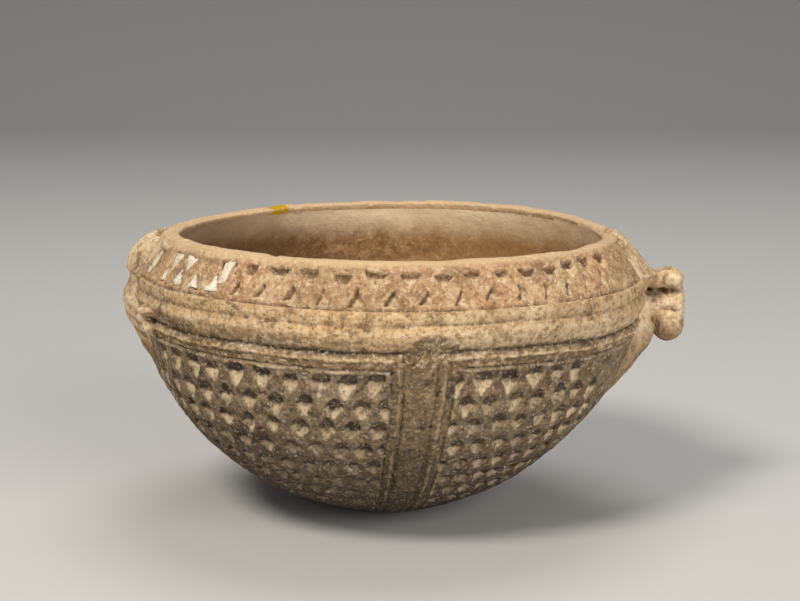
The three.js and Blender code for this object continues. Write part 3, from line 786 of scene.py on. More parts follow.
def spun(section, start, turn, steps):
    """A closed solid spun about the axis. A section point is (radius, height, way up the
    wall, reach of the relief, corner number)."""
    bm = bmesh.new()
    layers = [bm.verts.layers.float.new(name) for name in ("up_wall", "reach", "corner")]
    ring = bm.verts.layers.float.new("ring")
    order = bm.verts.layers.float.new("order")
    angle = math.radians(start)
    verts = []
    for i, (radius, height, *values) in enumerate(section):
        vert = bm.verts.new((radius * math.cos(angle), radius * math.sin(angle), height))
        for layer, value in zip(layers, values):
            vert[layer] = value
        vert[ring] = radius
        vert[order] = i
        verts.append(vert)
    whole = turn >= 360
    if whole:
        pairs = list(zip(verts, verts[1:]))
        if section[0][0] > 1e-6:
            pairs.append((verts[-1], verts[0]))
        geom = verts + [bm.edges.new(pair) for pair in pairs]
    else:
        geom = [bm.faces.new(verts)]
        geom += list(geom[0].edges) + verts
    bmesh.ops.spin(
        bm, geom=geom, cent=(0, 0, 0), axis=(0, 0, 1), dvec=(0, 0, 0),
        angle=math.radians(turn), steps=math.ceil(steps / (SPIN_CUTS + 1)), use_merge=whole,
        use_duplicate=False)
    bmesh.ops.remove_doubles(bm, verts=bm.verts, dist=1e-4)
    hoops = [edge for edge in bm.edges if edge.verts[0][order] == edge.verts[1][order]]
    bmesh.ops.subdivide_edges(bm, edges=hoops, cuts=SPIN_CUTS, use_grid_fill=True)
    bmesh.ops.recalc_face_normals(bm, faces=bm.faces)
    for face in bm.faces:
        face.smooth = True
        if len(face.verts) > 4:
            for edge in face.edges:
                edge.smooth = False
    corner = layers[2]
    for edge in bm.edges:
        a, b = edge.verts
        if a[corner] > 0 and a[corner] == b[corner]:
            edge.smooth = False
    return bm


def to_mesh(bm, name):
    mesh = bpy.data.meshes.new(name)
    bm.to_mesh(mesh)
    bm.free()
    return mesh


def read_points(mesh):
    co = np.empty(len(mesh.vertices) * 3, np.float32)
    mesh.vertices.foreach_get("co", co)
    return co.reshape(-1, 3).astype(float)


def write_points(mesh, points):
    mesh.vertices.foreach_set("co", (points * MILLIMETRE).astype(np.float32).ravel())
    mesh.update()


def read_layer(mesh, name):
    values = np.empty(len(mesh.vertices), np.float32)
    mesh.attributes[name].data.foreach_get("value", values)
    return values.astype(float)


def write_layer(mesh, name, values):
    layer = mesh.attributes.get(name) or mesh.attributes.new(name, "FLOAT", "POINT")
    layer.data.foreach_set("value", np.asarray(values, np.float32))


def shade_smooth(mesh):
    mesh.polygons.foreach_set("use_smooth", np.ones(len(mesh.polygons), bool))


def add_object(name, data):
    made = bpy.data.objects.new(name, data)
    bpy.context.scene.collection.objects.link(made)
    return made


def add_piece(mesh, material, slot, *nodes):
    """Adds a finished mesh, which rides on the jar's body and stands for CAD nodes."""
    piece = add_object(mesh.name, mesh)
    mesh.materials.append(material)
    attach(piece, "root")
    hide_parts(*nodes)


def shape_wall(mesh, surface_name, retouch=None):
    """Moves a spun mesh's points out by the carved surface's relief and out of round by
    hand, and keeps how the surface tilts and how hollow it is for the finish."""
    carved_surface = surface(surface_name)
    wall = carved_surface.wall
    points = read_points(mesh)
    up = read_layer(mesh, "up_wall")
    reach = read_layer(mesh, "reach")
    turn = np.degrees(np.arctan2(points[:, 1], points[:, 0]))
    if retouch:
        turn = retouch(turn, up)
    radius = read_layer(mesh, "ring")
    height = points[:, 2]
    _, _, across, rise = wall.at(up)
    angle = np.radians(turn)
    lift = carved_surface.read("stand", turn, up) * reach
    radius = radius + across * lift
    height = height + rise * lift
    placed = np.column_stack([radius * np.cos(angle), radius * np.sin(angle), height])
    write_points(mesh, handmade(placed))
    for name in ("tilt", "hollow", "shade", "soot", "crust"):
        write_layer(mesh, name, carved_surface.read(name, turn, up) * reach)
    for name in ("up_wall", "reach", "corner", "ring", "order"):
        mesh.attributes.remove(mesh.attributes[name])


def wall_run(wall, low, high, count, depth=0.0, corners=(0, 0)):
    """Section points up a wall, or at a depth behind it, with its ends' corner numbers. The
    relief doesn't reach the foot's middle or anything behind the wall."""
    ups = np.linspace(low, high, count)
    radius, height, across, rise = wall.at(ups)
    reach = (ups > 1) & (depth == 0)
    corner = np.zeros(count)
    corner[0], corner[-1] = corners
    return np.column_stack(
        [radius - across * depth, height - rise * depth, ups, reach, corner]).tolist()


def skin_section(wall, low, high, step, back_points=8):
    """A skin of the wall: close points outside, few points behind."""
    count = max(int((high - low) / step), 2)
    outside = wall_run(wall, low, high, count, corners=(1, 2))
    return outside + wall_run(wall, high, low, back_points, SKIN, (3, 4))


def build_core():
    """The inner wall, the floor and the foot, which carry every outer skin."""
    section = [(0, 0, 0, 0, 0)]
    section += wall_run(bowl_wall, 0, CORE_SEAM, 30, corners=(0, 1))
    section += wall_run(bowl_wall, CORE_SEAM, bowl_wall.length, 40, SKIN + SEAT, (2, 3))
    section.append((float(inner_radius(SEAM_HEIGHT)), SEAM_HEIGHT, 0, 0, 4))
    inner = inner_line[inner_line[:, 1] < SEAM_HEIGHT - 0.3][::-1]
    section += [(max(radius, 0), height, 0, 0, 0) for radius, height in inner.tolist()]
    mesh = to_mesh(spun(section, 180, 360, 480), "bowl_core")
    shape_wall(mesh, "bowl")
    write_points(mesh, finger_hollows(read_points(mesh) / MILLIMETRE))
    return mesh


def inner_radius(height):
    return np.interp(height, inner_line[:, 1], inner_line[:, 0])


def finger_hollows(points):
    """Soft hollows that fingers left on the inner wall."""
    radius = np.hypot(points[:, 0], points[:, 1])
    inner = inner_radius(points[:, 2])
    inside = (radius < inner + 1.0) & (points[:, 2] > 5) & (points[:, 2] < LIP_HEIGHT - 2)
    swell = 0.4 * rough(points, 16.0, 2.2) + 0.14 * rough(points, 5.0, 4.4)
    swell += 0.06 * rough(points, 1.5, 1.4)
    moved = points.copy()
    moved[inside, :2] *= (1 + (swell / np.maximum(radius, 6)))[inside, None]
    return moved


def rib_edge(middle, side):
    """The turn of a rib's edge as a function of the way up the wall."""
    def edge(up):
        radius, height, _, _ = bowl_wall.at(up)
        return middle + side * np.degrees(rib_half_width(height) / radius)
    return edge


def lug_edge(turn):
    """The same for a panel's edge under a lug, which runs straight up."""
    return lambda up: np.full_like(up, turn, dtype=float)


def between(low_edge, high_edge, start, span):
    """Spreads the points of a skin, spun evenly over a span, between two edges."""
    def retouch(turn, up):
        share = ((turn - start + 1) % 360 - 1) / span
        low = low_edge(up)
        return low + (high_edge(up) - low) * np.clip(share, 0, 1)
    return retouch


def build_sector(name, low_edge, high_edge):
    """A skin of the bowl between two edges, from the core's seam to the panels' top."""
    step = in_mm(sizes().grain)
    top = bowl_wall.up_to(PANEL_TOP)
    middle_up = bowl_wall.up_to(40)
    start = float(low_edge(middle_up))
    span = float(high_edge(middle_up)) - start
    radius = float(bowl_wall.at(middle_up)[0])
    steps = int(math.radians(span) * radius / step)
    bm = spun(skin_section(bowl_wall, CORE_SEAM, top, step), start, span, steps)
    mesh = to_mesh(bm, name)
    shape_wall(mesh, "bowl", between(low_edge, high_edge, start, span))
    return mesh


# Lugs

def pad_bmesh(middle_turn, rows, across_points=48, up_points=80, thickness=2.2):
    """A pad of clay on the wall from (height, stand-out, half width) rows, foot first. Its
    edges thin out into the wall."""
    heights, stands, halves = smooth_through(rows, 6).T
    bm = bmesh.new()
    bmesh.ops.create_grid(bm, x_segments=across_points, y_segments=up_points, size=1)
    outer = np.vstack([bowl_wall.points[:-1], collar_wall.points])
    for vert in bm.verts:
        share, rise = vert.co.x, (vert.co.y + 1) / 2
        height = heights[0] + (heights[-1] - heights[0]) * rise
        stand = np.interp(height, heights, stands)
        half = np.interp(height, heights, halves)
        wall = np.interp(height, outer[:, 1], outer[:, 0])
        swell = (stand + 1.0) * (1 - smoothstep(0.2, 1.0, abs(share))) - 1.0
        y = share * half
        radius = wall + swell
        vert.co = (math.sqrt(max(radius * radius - y * y, 1)), y, height)
    bmesh.ops.recalc_face_normals(bm, faces=bm.faces)
    middle = max(bm.faces, key=lambda face: face.calc_center_median().x)
    if middle.normal.x < 0:
        bmesh.ops.reverse_faces(bm, faces=bm.faces)
    bmesh.ops.solidify(bm, geom=list(bm.faces), thickness=thickness)
    turned = Matrix.Rotation(math.radians(middle_turn), 3, "Z")
    bmesh.ops.rotate(bm, cent=(0, 0, 0), matrix=turned, verts=bm.verts)
    return bm


def add_lump(bm, centre, radii, lean=0.0):
    """An egg of clay pressed on: centre and radii in millimetres, lean about Y in degrees."""
    made = bmesh.ops.create_icosphere(bm, subdivisions=3, radius=1)["verts"]
    bmesh.ops.scale(bm, vec=radii, verts=made)
    leant = Matrix.Rotation(math.radians(lean), 3, "Y")
    bmesh.ops.rotate(bm, cent=(0, 0, 0), matrix=leant, verts=made)
    bmesh.ops.translate(bm, vec=centre, verts=made)


def kneaded(bm, name, voxel=0.36, rounds=4):
    """Joins closed lumps into one smooth skin, as wet clay is kneaded together."""
    mesh = to_mesh(bm, name)
    scratch = add_object(name, mesh)
    remesh = scratch.modifiers.new("knead", "REMESH")
    remesh.mode = "VOXEL"
    remesh.voxel_size = voxel
    smooth = scratch.modifiers.new("wipe", "SMOOTH")
    smooth.factor = 0.5
    smooth.iterations = rounds
    graph = bpy.context.evaluated_depsgraph_get()
    joined = bpy.data.meshes.new_from_object(scratch.evaluated_get(graph))
    bpy.data.objects.remove(scratch)
    bpy.data.meshes.remove(mesh)
    joined.name = name
    shade_smooth(joined)
    return joined


def weather(mesh, depth, folds=None, stains=()):
    """Roughens a lug along its normals and keeps its tilt, its hollows and its painted shadows
    in recesses, given as (place, reach, strength), for the finish."""
    points = read_points(mesh)
    normals = np.empty(len(mesh.vertices) * 3, np.float32)
    mesh.vertices.foreach_get("normal", normals)
    normals = normals.reshape(-1, 3)
    fine = rough(points, 0.9, 8.3)
    lift = grit_relief(points, depth) + 0.22 * rough(points, 4.5, 9.3) + 0.1 * fine
    if folds:
        lift = lift + folds(points)
    soot = np.zeros(len(points))
    for place, reach, strength in stains:
        far = np.linalg.norm((points - place) / reach, axis=1) + 0.35 * rough(points, 2.0, 6.1)
        soot = np.maximum(soot, strength * smoothstep(1.1, 0.5, far))
    write_points(mesh, handmade(points + normals * lift[:, None]))
    write_layer(mesh, "tilt", -0.35 * normals[:, 2])
    write_layer(mesh, "hollow", -lift)
    write_layer(mesh, "soot", soot)


# Finishes

def srgb(text):
    """An sRGB hex value as linear red, green and blue with alpha."""
    values = [int(text[i:i + 2], 16) / 255 for i in (1, 3, 5)]
    return [v / 12.92 if v <= 0.04045 else ((v + 0.055) / 1.055) ** 2.4 for v in values] + [1]


def add_node(tree, kind, inputs=None, **settings):
    node = tree.nodes.new(kind)
    for name, value in settings.items():
        setattr(node, name, value)
    for key, value in (inputs or {}).items():
        if isinstance(value, bpy.types.NodeSocket):
            tree.links.new(value, node.inputs[key])
        else:
            node.inputs[key].default_value = value
    return node


def per_metre(size_mm):
    """A pattern's scale from the size of its grain in millimetres."""
    return 1 / (size_mm * MILLIMETRE)


# Patterns in the clay: the size of their grain in millimetres and their detail
PATTERNS = {
    "broad": (24.0, 3.0), "patch": (8.0, 9.0), "fleck": (2.0, 6.0), "grain": (0.8, 3.0),
    "drift": (9.0, 6.0), "blotch": (5.0, 6.0),
}
PATTERN_ROUGHNESS = 0.66

# Heights that waver with a pattern, and by how many metres
# The first height places painted shade towards the foot; the second places a painted highlight
# high on the inner wall under the lip
WAVERING = {"foot_shade_height": ("patch", -0.03), "lip_highlight_height": ("drift", 0.006)}

# Faces that look up or down: limits of their tilt, the most that it counts, and the field
# of the mesh that counts as well. Faces that look down are darkened with painted shade.
FACINGS = {"upward": (-0.3, -0.9, 0.3, "crust"), "downward": (0.3, 1.0, 0.4, "soot")}

# How a fired clay looks where its own finish doesn't say otherwise
CLAY_LOOK = {
    "stretch": (1, 1, 1), "streak_size": 3.0, "streak_depth": 0.4, "mottle": 0.6,
    "soot": 0.8, "crust": 0.7, "rub": 0.6, "cloud": 0.0, "shaded": None,
    "grit": 0.5, "bump": 0.6, "roughness": 0.88, "soil": 0.6, "stains": (),
}


def clay_value(tree, values, key):
    """The socket of a pattern or of a field kept on the mesh, added when it is first read."""
    if key in values:
        return values[key]
    if key in PATTERNS:
        size, detail = PATTERNS[key]
        socket = add_node(
            tree, "ShaderNodeTexNoise",
            {"Vector": values["place"], "Scale": per_metre(size), "Detail": detail,
             "Roughness": PATTERN_ROUGHNESS}).outputs[0]
    elif key in WAVERING:
        pattern, far = WAVERING[key]
        socket = add_node(
            tree, "ShaderNodeMath",
            {0: clay_value(tree, values, pattern), 1: far, 2: values["height"]},
            operation="MULTIPLY_ADD").outputs[0]
    elif key in FACINGS:
        low, high, most, kept = FACINGS[key]
        tilted = add_node(
            tree, "ShaderNodeMapRange",
            {0: clay_value(tree, values, "tilt"), 1: low, 2: high, 3: 0.0, 4: most},
            interpolation_type="SMOOTHSTEP").outputs[0]
        socket = add_node(
            tree, "ShaderNodeMath", {0: tilted, 1: clay_value(tree, values, kept)},
            operation="MAXIMUM").outputs[0]
    else:
        socket = add_node(tree, "ShaderNodeAttribute", attribute_name=key).outputs["Fac"]
    values[key] = socket
    return socket


# Low-fired coarse clay, wiped while wet and worn in the ground: dull, never one colour, with
# dark residue and painted shade where a face looks down, lime crust where it looks up and pale
# rubbed crests
def fired_clay(name, base, warm, pale, dark, **look):
    look = {**CLAY_LOOK, **look}
    material = bpy.data.materials.new(name)
    material.use_nodes = True
    tree = material.node_tree
    tree.nodes.clear()
    place = add_node(tree, "ShaderNodeTexCoord").outputs["Object"]
    axes = add_node(tree, "ShaderNodeSeparateXYZ", {0: place}).outputs
    combed = add_node(tree, "ShaderNodeMapping", {"Vector": place, "Scale": look["stretch"]})
    streak = add_node(
        tree, "ShaderNodeTexNoise",
        {"Vector": combed.outputs[0], "Scale": per_metre(look["streak_size"]), "Detail": 6.0,
         "Roughness": PATTERN_ROUGHNESS})
    values = {"place": place, "across": axes[0], "height": axes[2], "streak": streak.outputs[0]}

    # Tones laid one over the other, each where all its values are high: a value's name, the
    # limits between which it eases, and what it counts at each
    mottle, lines, crust, soot = look["mottle"], look["streak_depth"], look["crust"], look["soot"]
    layers = [
        (warm, ("broad", 0.4, 0.6)),
        (look["shaded"], ("shade",), ("fleck", 0.3, 0.5, 0.7, 1)),
        (pale, ("patch", 0.5, 0.66, 0, mottle)),
        (dark, ("patch", 0.48, 0.34, 0, mottle)),
        (dark, ("streak", 0.48, 0.36, 0, lines)),
        (pale, ("streak", 0.53, 0.66, 0, lines)),
        (dark, ("fleck", 0.49, 0.37, 0, 0.45)),
        (pale, ("fleck", 0.52, 0.64, 0, 0.45)),
        # Darker grey towards the foot: painted shade of the underside
        ("#3d362d" if look["cloud"] else None, ("foot_shade_height", 0.022, -0.012, 0, look["cloud"])),
        # Soil and painted shade darken the hollows, crust lies on faces that look up, and residue
        # with painted shade lies under the edges and on faces that look down
        (dark, ("hollow", 0.03, 0.32, 0, look["soil"])),
        (colours().crust, ("upward",), ("broad", 0.38, 0.55, 0.7 * crust, crust),
         ("height", 0.010, 0.036, 0.65, 1), ("fleck", 0.38, 0.52, 0.35, 1)),
        # Painted shade on faces that look down, over the residue under the edges
        (colours().soot, ("downward",), ("patch", 0.32, 0.5, 0.7 * soot, soot),
         ("fleck", 0.64, 0.46, 0.55, 1)),
        (pale, ("hollow", -0.03, -0.2, 0, look["rub"]), ("fleck", 0.38, 0.56)),
        # Grit: quartz and crushed shell, drawn a little coarse so that it shows
        ("#e2d3b8", ("grain", 0.56, 0.68, 0, look["grit"])),
        ("#40352a", ("grain", 0.45, 0.33, 0, look["grit"])),
        *look["stains"],
    ]
    colour = srgb(base)
    for tone, *parts in layers:
        if not tone:
            continue
        factor = None
        for key, *limits in parts:
            level = clay_value(tree, values, key)
            if limits:
                level = add_node(
                    tree, "ShaderNodeMapRange", {0: level, **dict(enumerate(limits, 1))},
                    interpolation_type="SMOOTHSTEP").outputs[0]
            factor = level if factor is None else add_node(
                tree, "ShaderNodeMath", {0: factor, 1: level}, operation="MULTIPLY").outputs[0]
        colour = add_node(
            tree, "ShaderNodeMix", {0: factor, 6: colour, 7: srgb(tone)},
            data_type="RGBA", clamp_factor=True).outputs[2]

    # The same patterns raise the clay a little
    raised = add_node(
        tree, "ShaderNodeMath",
        {0: clay_value(tree, values, "fleck"), 1: 2.2, 2: clay_value(tree, values, "grain")},
        operation="MULTIPLY_ADD").outputs[0]
    raised = add_node(
        tree, "ShaderNodeMath", {0: raised, 1: values["streak"]}, operation="ADD").outputs[0]
    relief = add_node(
        tree, "ShaderNodeBump", {"Strength": look["bump"], "Distance": 0.0005, "Height": raised})
    shader = add_node(
        tree, "ShaderNodeBsdfPrincipled",
        {"Base Color": colour, "Roughness": look["roughness"], "IOR": 1.5,
         "Specular IOR Level": 0.2, "Normal": relief.outputs[0]})
    add_node(tree, "ShaderNodeOutputMaterial", {"Surface": shader.outputs[0]})
    return material


# Wiped with a wet hand: a pinkish-brown skin with soft streaks along the wipe, a pale rubbed
# lip and one yellow stain
def collar_clay():
    return fired_clay(
        "wiped_collar_clay", colours().collar, "#b38c66", "#cdb48c", "#87684a",
        stretch=(0.5, 0.5, 1), streak_size=2.6, streak_depth=0.2, soot=0.75, crust=0.95,
        rub=0.45, grit=0.55, soil=0.7, stains=(
            ("#d2b68e", ("height", 0.0678, 0.0694, 0, 0.7)),
            ("#b8921c", ("stain", 0.35, 0.65))))


# Reeded with a blunt tool: yellow ochre on the ridges and grey-brown under them, with
# painted shade and soil on the slope down into the deep groove
def shoulder_clay():
    return fired_clay(
        "reeded_shoulder_clay", colours().ochre, "#b5946a", "#dcc6a0", "#5c4c3a",
        stretch=(0.3, 0.3, 1), streak_size=1.8, streak_depth=0.25, crust=0.95, rub=0.2,
        grit=0.55, soil=0.7, shaded="#765f43")


# Carved while leather-hard: each chip has a dark roof of residue and painted shade and a pale
# ramp, in a skin painted darker grey towards the foot as painted shade of the underside
def panel_clay():
    return fired_clay(
        "carved_panel_clay", colours().panel, "#74614a", "#9a8768", "#40372c",
        streak_size=4.0, streak_depth=0.3, soot=0.95, crust=1.0, rub=0.25, cloud=0.9)


# Drawn up between two grooves: dark, with streaks that run upright, and painted shade
# darkening it towards the foot
def rib_clay():
    return fired_clay(
        "grooved_rib_clay", "#6c5c47", "#78654c", "#a08a66", "#3a3229",
        stretch=(1, 1, 0.14), streak_size=1.4, streak_depth=0.45, soot=0.6, crust=0.6,
        grit=0.35, soil=0.9, cloud=0.85)


# Wiped smooth and sheltered from wear: painted shade turns one side dark brown, painted
# light turns the other golden, and a painted highlight lies pale under the lip
def inner_clay():
    return fired_clay(
        "wiped_inner_clay", colours().inside, "#82623e", "#b59468", "#5f452c",
        stretch=(0.3, 0.3, 1), streak_size=5.0, soot=0.3, crust=0.2, rub=0.2, grit=0.3,
        soil=0.3, bump=0.35, stains=(
            # Painted light on the right of the inside, painted shade on its left, and a painted
            # highlight high on the left of the inner wall under the lip
            ("#b48d5a", ("across", -0.020, 0.045, 0, 0.6)),
            ("#6e5133", ("across", -0.008, -0.034, 0, 0.75)),
            ("#ecd6b4", ("lip_highlight_height", 0.0624, 0.0710, 0, 0.95),
             ("across", -0.050, -0.005, 0.3, 1))))


# Pinched on and rubbed by hands: the palest clay, browner at its foot
def lug_clay():
    return fired_clay(
        "rubbed_lug_clay", colours().lug, "#bd9d76", "#e4d0ae", "#7c6244",
        streak_depth=0.3, soot=0.85, crust=0.5, soil=0.7,
        stains=(("#704e24", ("height", 0.048, 0.041, 0, 0.9), ("blotch", 0.35, 0.6, 1, 0.55)),))


# Lime pressed in wet and dried chalky: the whitest thing on the jar, without gloss
def lime_paste():
    return fired_clay(
        "pressed_lime_paste", colours().paste, "#e0d4ba", "#f6f0e2", "#a89878",
        streak_size=1.2, streak_depth=0.25, soot=0.2, crust=0.2, rub=0.3, grit=0.4, soil=0.3,
        bump=0.7, roughness=0.95, mottle=0.3)


class JAR_OT_bowl_core(bpy.types.Operator):
    """Build the inner wall, the floor and the foot"""
    bl_idname = "jar.bowl_core"
    bl_label = "Bowl core"

    def execute(self, context):
        mesh = build_core()
        add_piece(mesh, inner_clay(), "dark_clay", "lower_bowl")
        mesh.materials.append(panel_clay())
        heights = np.array([face.center.z for face in mesh.polygons])
        outside = in_mm(heights) < FOOT_OUTSIDE
        mesh.polygons.foreach_set("material_index", outside.astype(np.int32))
        return {"FINISHED"}


class JAR_OT_panels(bpy.types.Operator):
    """Build the four carved quarters of the bowl's outside"""
    bl_idname = "jar.panels"
    bl_label = "Carved panels"

    def execute(self, context):
        material = context.scene.objects["bowl_core"].data.materials[1]
        front, back = RIB_TURNS
        quarters = (
            ("panel_front_left", lug_edge(-180.0), rib_edge(front, -1)),
            ("panel_front_right", rib_edge(front, 1), lug_edge(0.0)),
            ("panel_back_right", lug_edge(0.0), rib_edge(back, -1)),
            ("panel_back_left", rib_edge(back, 1), lug_edge(180.0)),
        )
        for quarter in quarters:
            add_piece(build_sector(*quarter), material, "dark_clay", "lower_bowl")
        return {"FINISHED"}


class JAR_OT_ribs(bpy.types.Operator):
    """Build the two grooved ribs between the panels"""
    bl_idname = "jar.ribs"
    bl_label = "Ribs"

    def execute(self, context):
        material = rib_clay()
        for node, middle in zip(("front_rib", "back_rib"), RIB_TURNS):
            mesh = build_sector(f"{node}_band", rib_edge(middle, -1), rib_edge(middle, 1))
            add_piece(mesh, material, "clay", node)
        return {"FINISHED"}


class JAR_OT_shoulder(bpy.types.Operator):
    """Build the lower strip, the cordon and the upper strip"""
    bl_idname = "jar.shoulder"
    bl_label = "Shoulder"

    def execute(self, context):
        material = shoulder_clay()
        step = in_mm(sizes().grain)
        low = bowl_wall.up_to(PANEL_TOP)
        middle = bowl_wall.up_to(PANEL_TOP + STRIP_HEIGHT)
        steps = int(2 * math.pi * SHOULDER_RADIUS / step)
        for name, start, end, slot, node in (
                ("lower_strip", low, middle, "dark_clay", "lower_bowl"),
                ("cordon_band", middle, bowl_wall.length, "pale_clay", "shoulder_cordon")):
            section = skin_section(bowl_wall, start, end, SHOULDER_STEP, SHOULDER_BACK_POINTS)
            mesh = to_mesh(spun(section, 180, 360, steps), name)
            shape_wall(mesh, "bowl")
            add_piece(mesh, material, slot, node)
        return {"FINISHED"}


class JAR_OT_collar(bpy.types.Operator):
    """Build the in-turned collar with its two rows of notches"""
    bl_idname = "jar.collar"
    bl_label = "Collar"

    def execute(self, context):
        step = in_mm(sizes().grain)
        section = []
        for i, up in enumerate(np.arange(0, collar_wall.length, COLLAR_STEP)):
            radius, height, _, _ = collar_wall.at(up)
            reach = float(smoothstep(-0.4, 0.3, up))
            section.append((float(radius), float(height), up, reach, 1 if i == 0 else 0))
        top, lip = collar_wall.length, LIP_THICKNESS
        for share in np.linspace(0, 1, LIP_POINTS):
            angle = math.pi * share
            section.append((
                COLLAR_TOP[0] - lip / 2 + lip / 2 * math.cos(angle),
                COLLAR_TOP[1] + LIP_ROUND * math.sin(angle), top, 0.3 * (1 - share), 0))
        for share in np.linspace(0, 1, INNER_POINTS)[1:]:
            height = COLLAR_TOP[1] + (SEAM_HEIGHT - COLLAR_TOP[1]) * share
            section.append((float(inner_radius(height)), height, top, 0.0, 2 if share == 1 else 0))
        steps = int(2 * math.pi * SHOULDER_RADIUS / step)
        mesh = to_mesh(spun(section, 180, 360, steps), "notched_collar")
        shape_wall(mesh, "collar")
        points = finger_hollows(read_points(mesh) / MILLIMETRE)
        worn = smoothstep(LIP_HEIGHT - 3.0, LIP_HEIGHT - 1.0, points[:, 2])
        nicks = smoothstep(0.45, 0.9, rough(points, 2.8, 17.0)) * 0.4
        waves = 0.25 * rough(points, 6.0, 5.1) + 0.06 * rough(points, 1.2, 8.8)
        points[:, 2] += worn * (waves - nicks)
        points[:, :2] *= (1 + worn * 0.2 * rough(points, 5.0, 2.7) / SHOULDER_RADIUS)[:, None]
        write_points(mesh, points)
        turn = np.degrees(np.arctan2(points[:, 1], points[:, 0]))
        radius = np.hypot(points[:, 0], points[:, 1])
        away = np.array([turn_gap(turn, STAIN_PLACE[0]), radius - STAIN_PLACE[1]])
        spot = 1 - np.hypot(away[0] / STAIN_REACH[0], away[1] / STAIN_REACH[1])
        stain = np.clip(0.9 * spot + 0.5 + 0.4 * rough(points, 1.5, 6.6), 0, 1)
        write_layer(mesh, "stain", stain * (spot > -0.4))
        add_piece(mesh, collar_clay(), "clay", "rim_collar")
        mesh.materials.append(context.scene.objects["bowl_core"].data.materials[0])
        centres = np.array([tuple(face.center) for face in mesh.polygons]) / MILLIMETRE
        reach = np.hypot(centres[:, 0], centres[:, 1])
        within = reach < inner_radius(centres[:, 2]) + INNER_PAINT_DEPTH
        within &= centres[:, 2] < LIP_HEIGHT - LIP_BARE
        mesh.polygons.foreach_set("material_index", within.astype(np.int32))
        mesh.update()
        return {"FINISHED"}


class JAR_OT_whole_lug(bpy.types.Operator):
    """Build the whole lug: strap, neck, upright bar and buttress"""
    bl_idname = "jar.whole_lug"
    bl_label = "Whole lug"

    def execute(self, context):
        seam, top, foot = SEAM_HEIGHT, LUG_TOP, LUG_FOOT
        bm = pad_bmesh(0, [
            (foot - 17, -0.9, 8), (foot - 13, 0.5, 14), (foot - 9.5, 1.6, 18),
            (foot - 6, 2.7, 20), (foot - 3, 3.5, 21), (foot - 0.5, 4.5, 20),
            (foot + 1.5, 5.2, 18), (foot + 3.3, 5.2, 15), (foot + 5.2, 4.6, 13.5),
            (foot + 7.5, 3.4, 13), (foot + 10.4, 2.5, 12.5),
            (seam - 3.6, 2.4, 12.5), (seam - 0.6, 3.9, 15), (seam + 1.5, 3.0, 16),
            (seam + 4.5, 2.6, 17), (seam + 8.0, 2.1, 18), (LIP_HEIGHT - 0.6, 1.0, 18),
        ])
        reach = LUG_REACH
        add_lump(bm, (reach - 4.1, 0, top - 2.4), (3.8, 6.0, 2.7))
        add_lump(bm, (reach - 8.0, 0, top - 2.9), (2.9, 4.8, 2.2), 12)
        add_lump(bm, (reach - 6.4, 3.0, top - 5.0), (3.8, 1.7, 3.0))
        add_lump(bm, (reach - 2.5, 0, (top + foot) / 2 + 0.8), (2.4, 5.2, 7.4))
        add_lump(bm, (reach - 4.2, 0, foot + 5.6), (4.0, 5.9, 5.0))
        add_lump(bm, (reach - 8.6, 0, foot + 10.1), (5.6, 4.6, 3.2), -8)
        add_lump(bm, (54.0, 1.0, LIP_HEIGHT - 1.0), (2.2, 6.0, 2.0))
        add_lump(bm, (reach - 4.4, -2.6, foot + 11.2), (3.2, 3.0, 1.5), -22)
        mesh = kneaded(bm, "whole_lug_clay")
        # Painted shadow in the lug's recesses, under its knob and beside its bar
        weather(mesh, 0.07, None, [
            ((reach - 8.8, -3.5, foot + 12.6), (3.4, 4.0, 1.5), 0.95),
            ((reach - 4.4, -4.5, foot + 13.8), (3.4, 3.0, 0.9), 0.85),
            ((reach - 4.6, -5.4, foot + 9.3), (2.4, 2.0, 0.5), 0.8),
            ((reach - 7.4, -3.0, foot + 3.4), (0.8, 5.0, 3.6), 0.9),
        ])
        add_piece(
            mesh, lug_clay(), "pale_clay",
            "right_lug_strap", "right_lug_stem", "right_lug_bar", "right_lug_buttress")
        return {"FINISHED"}


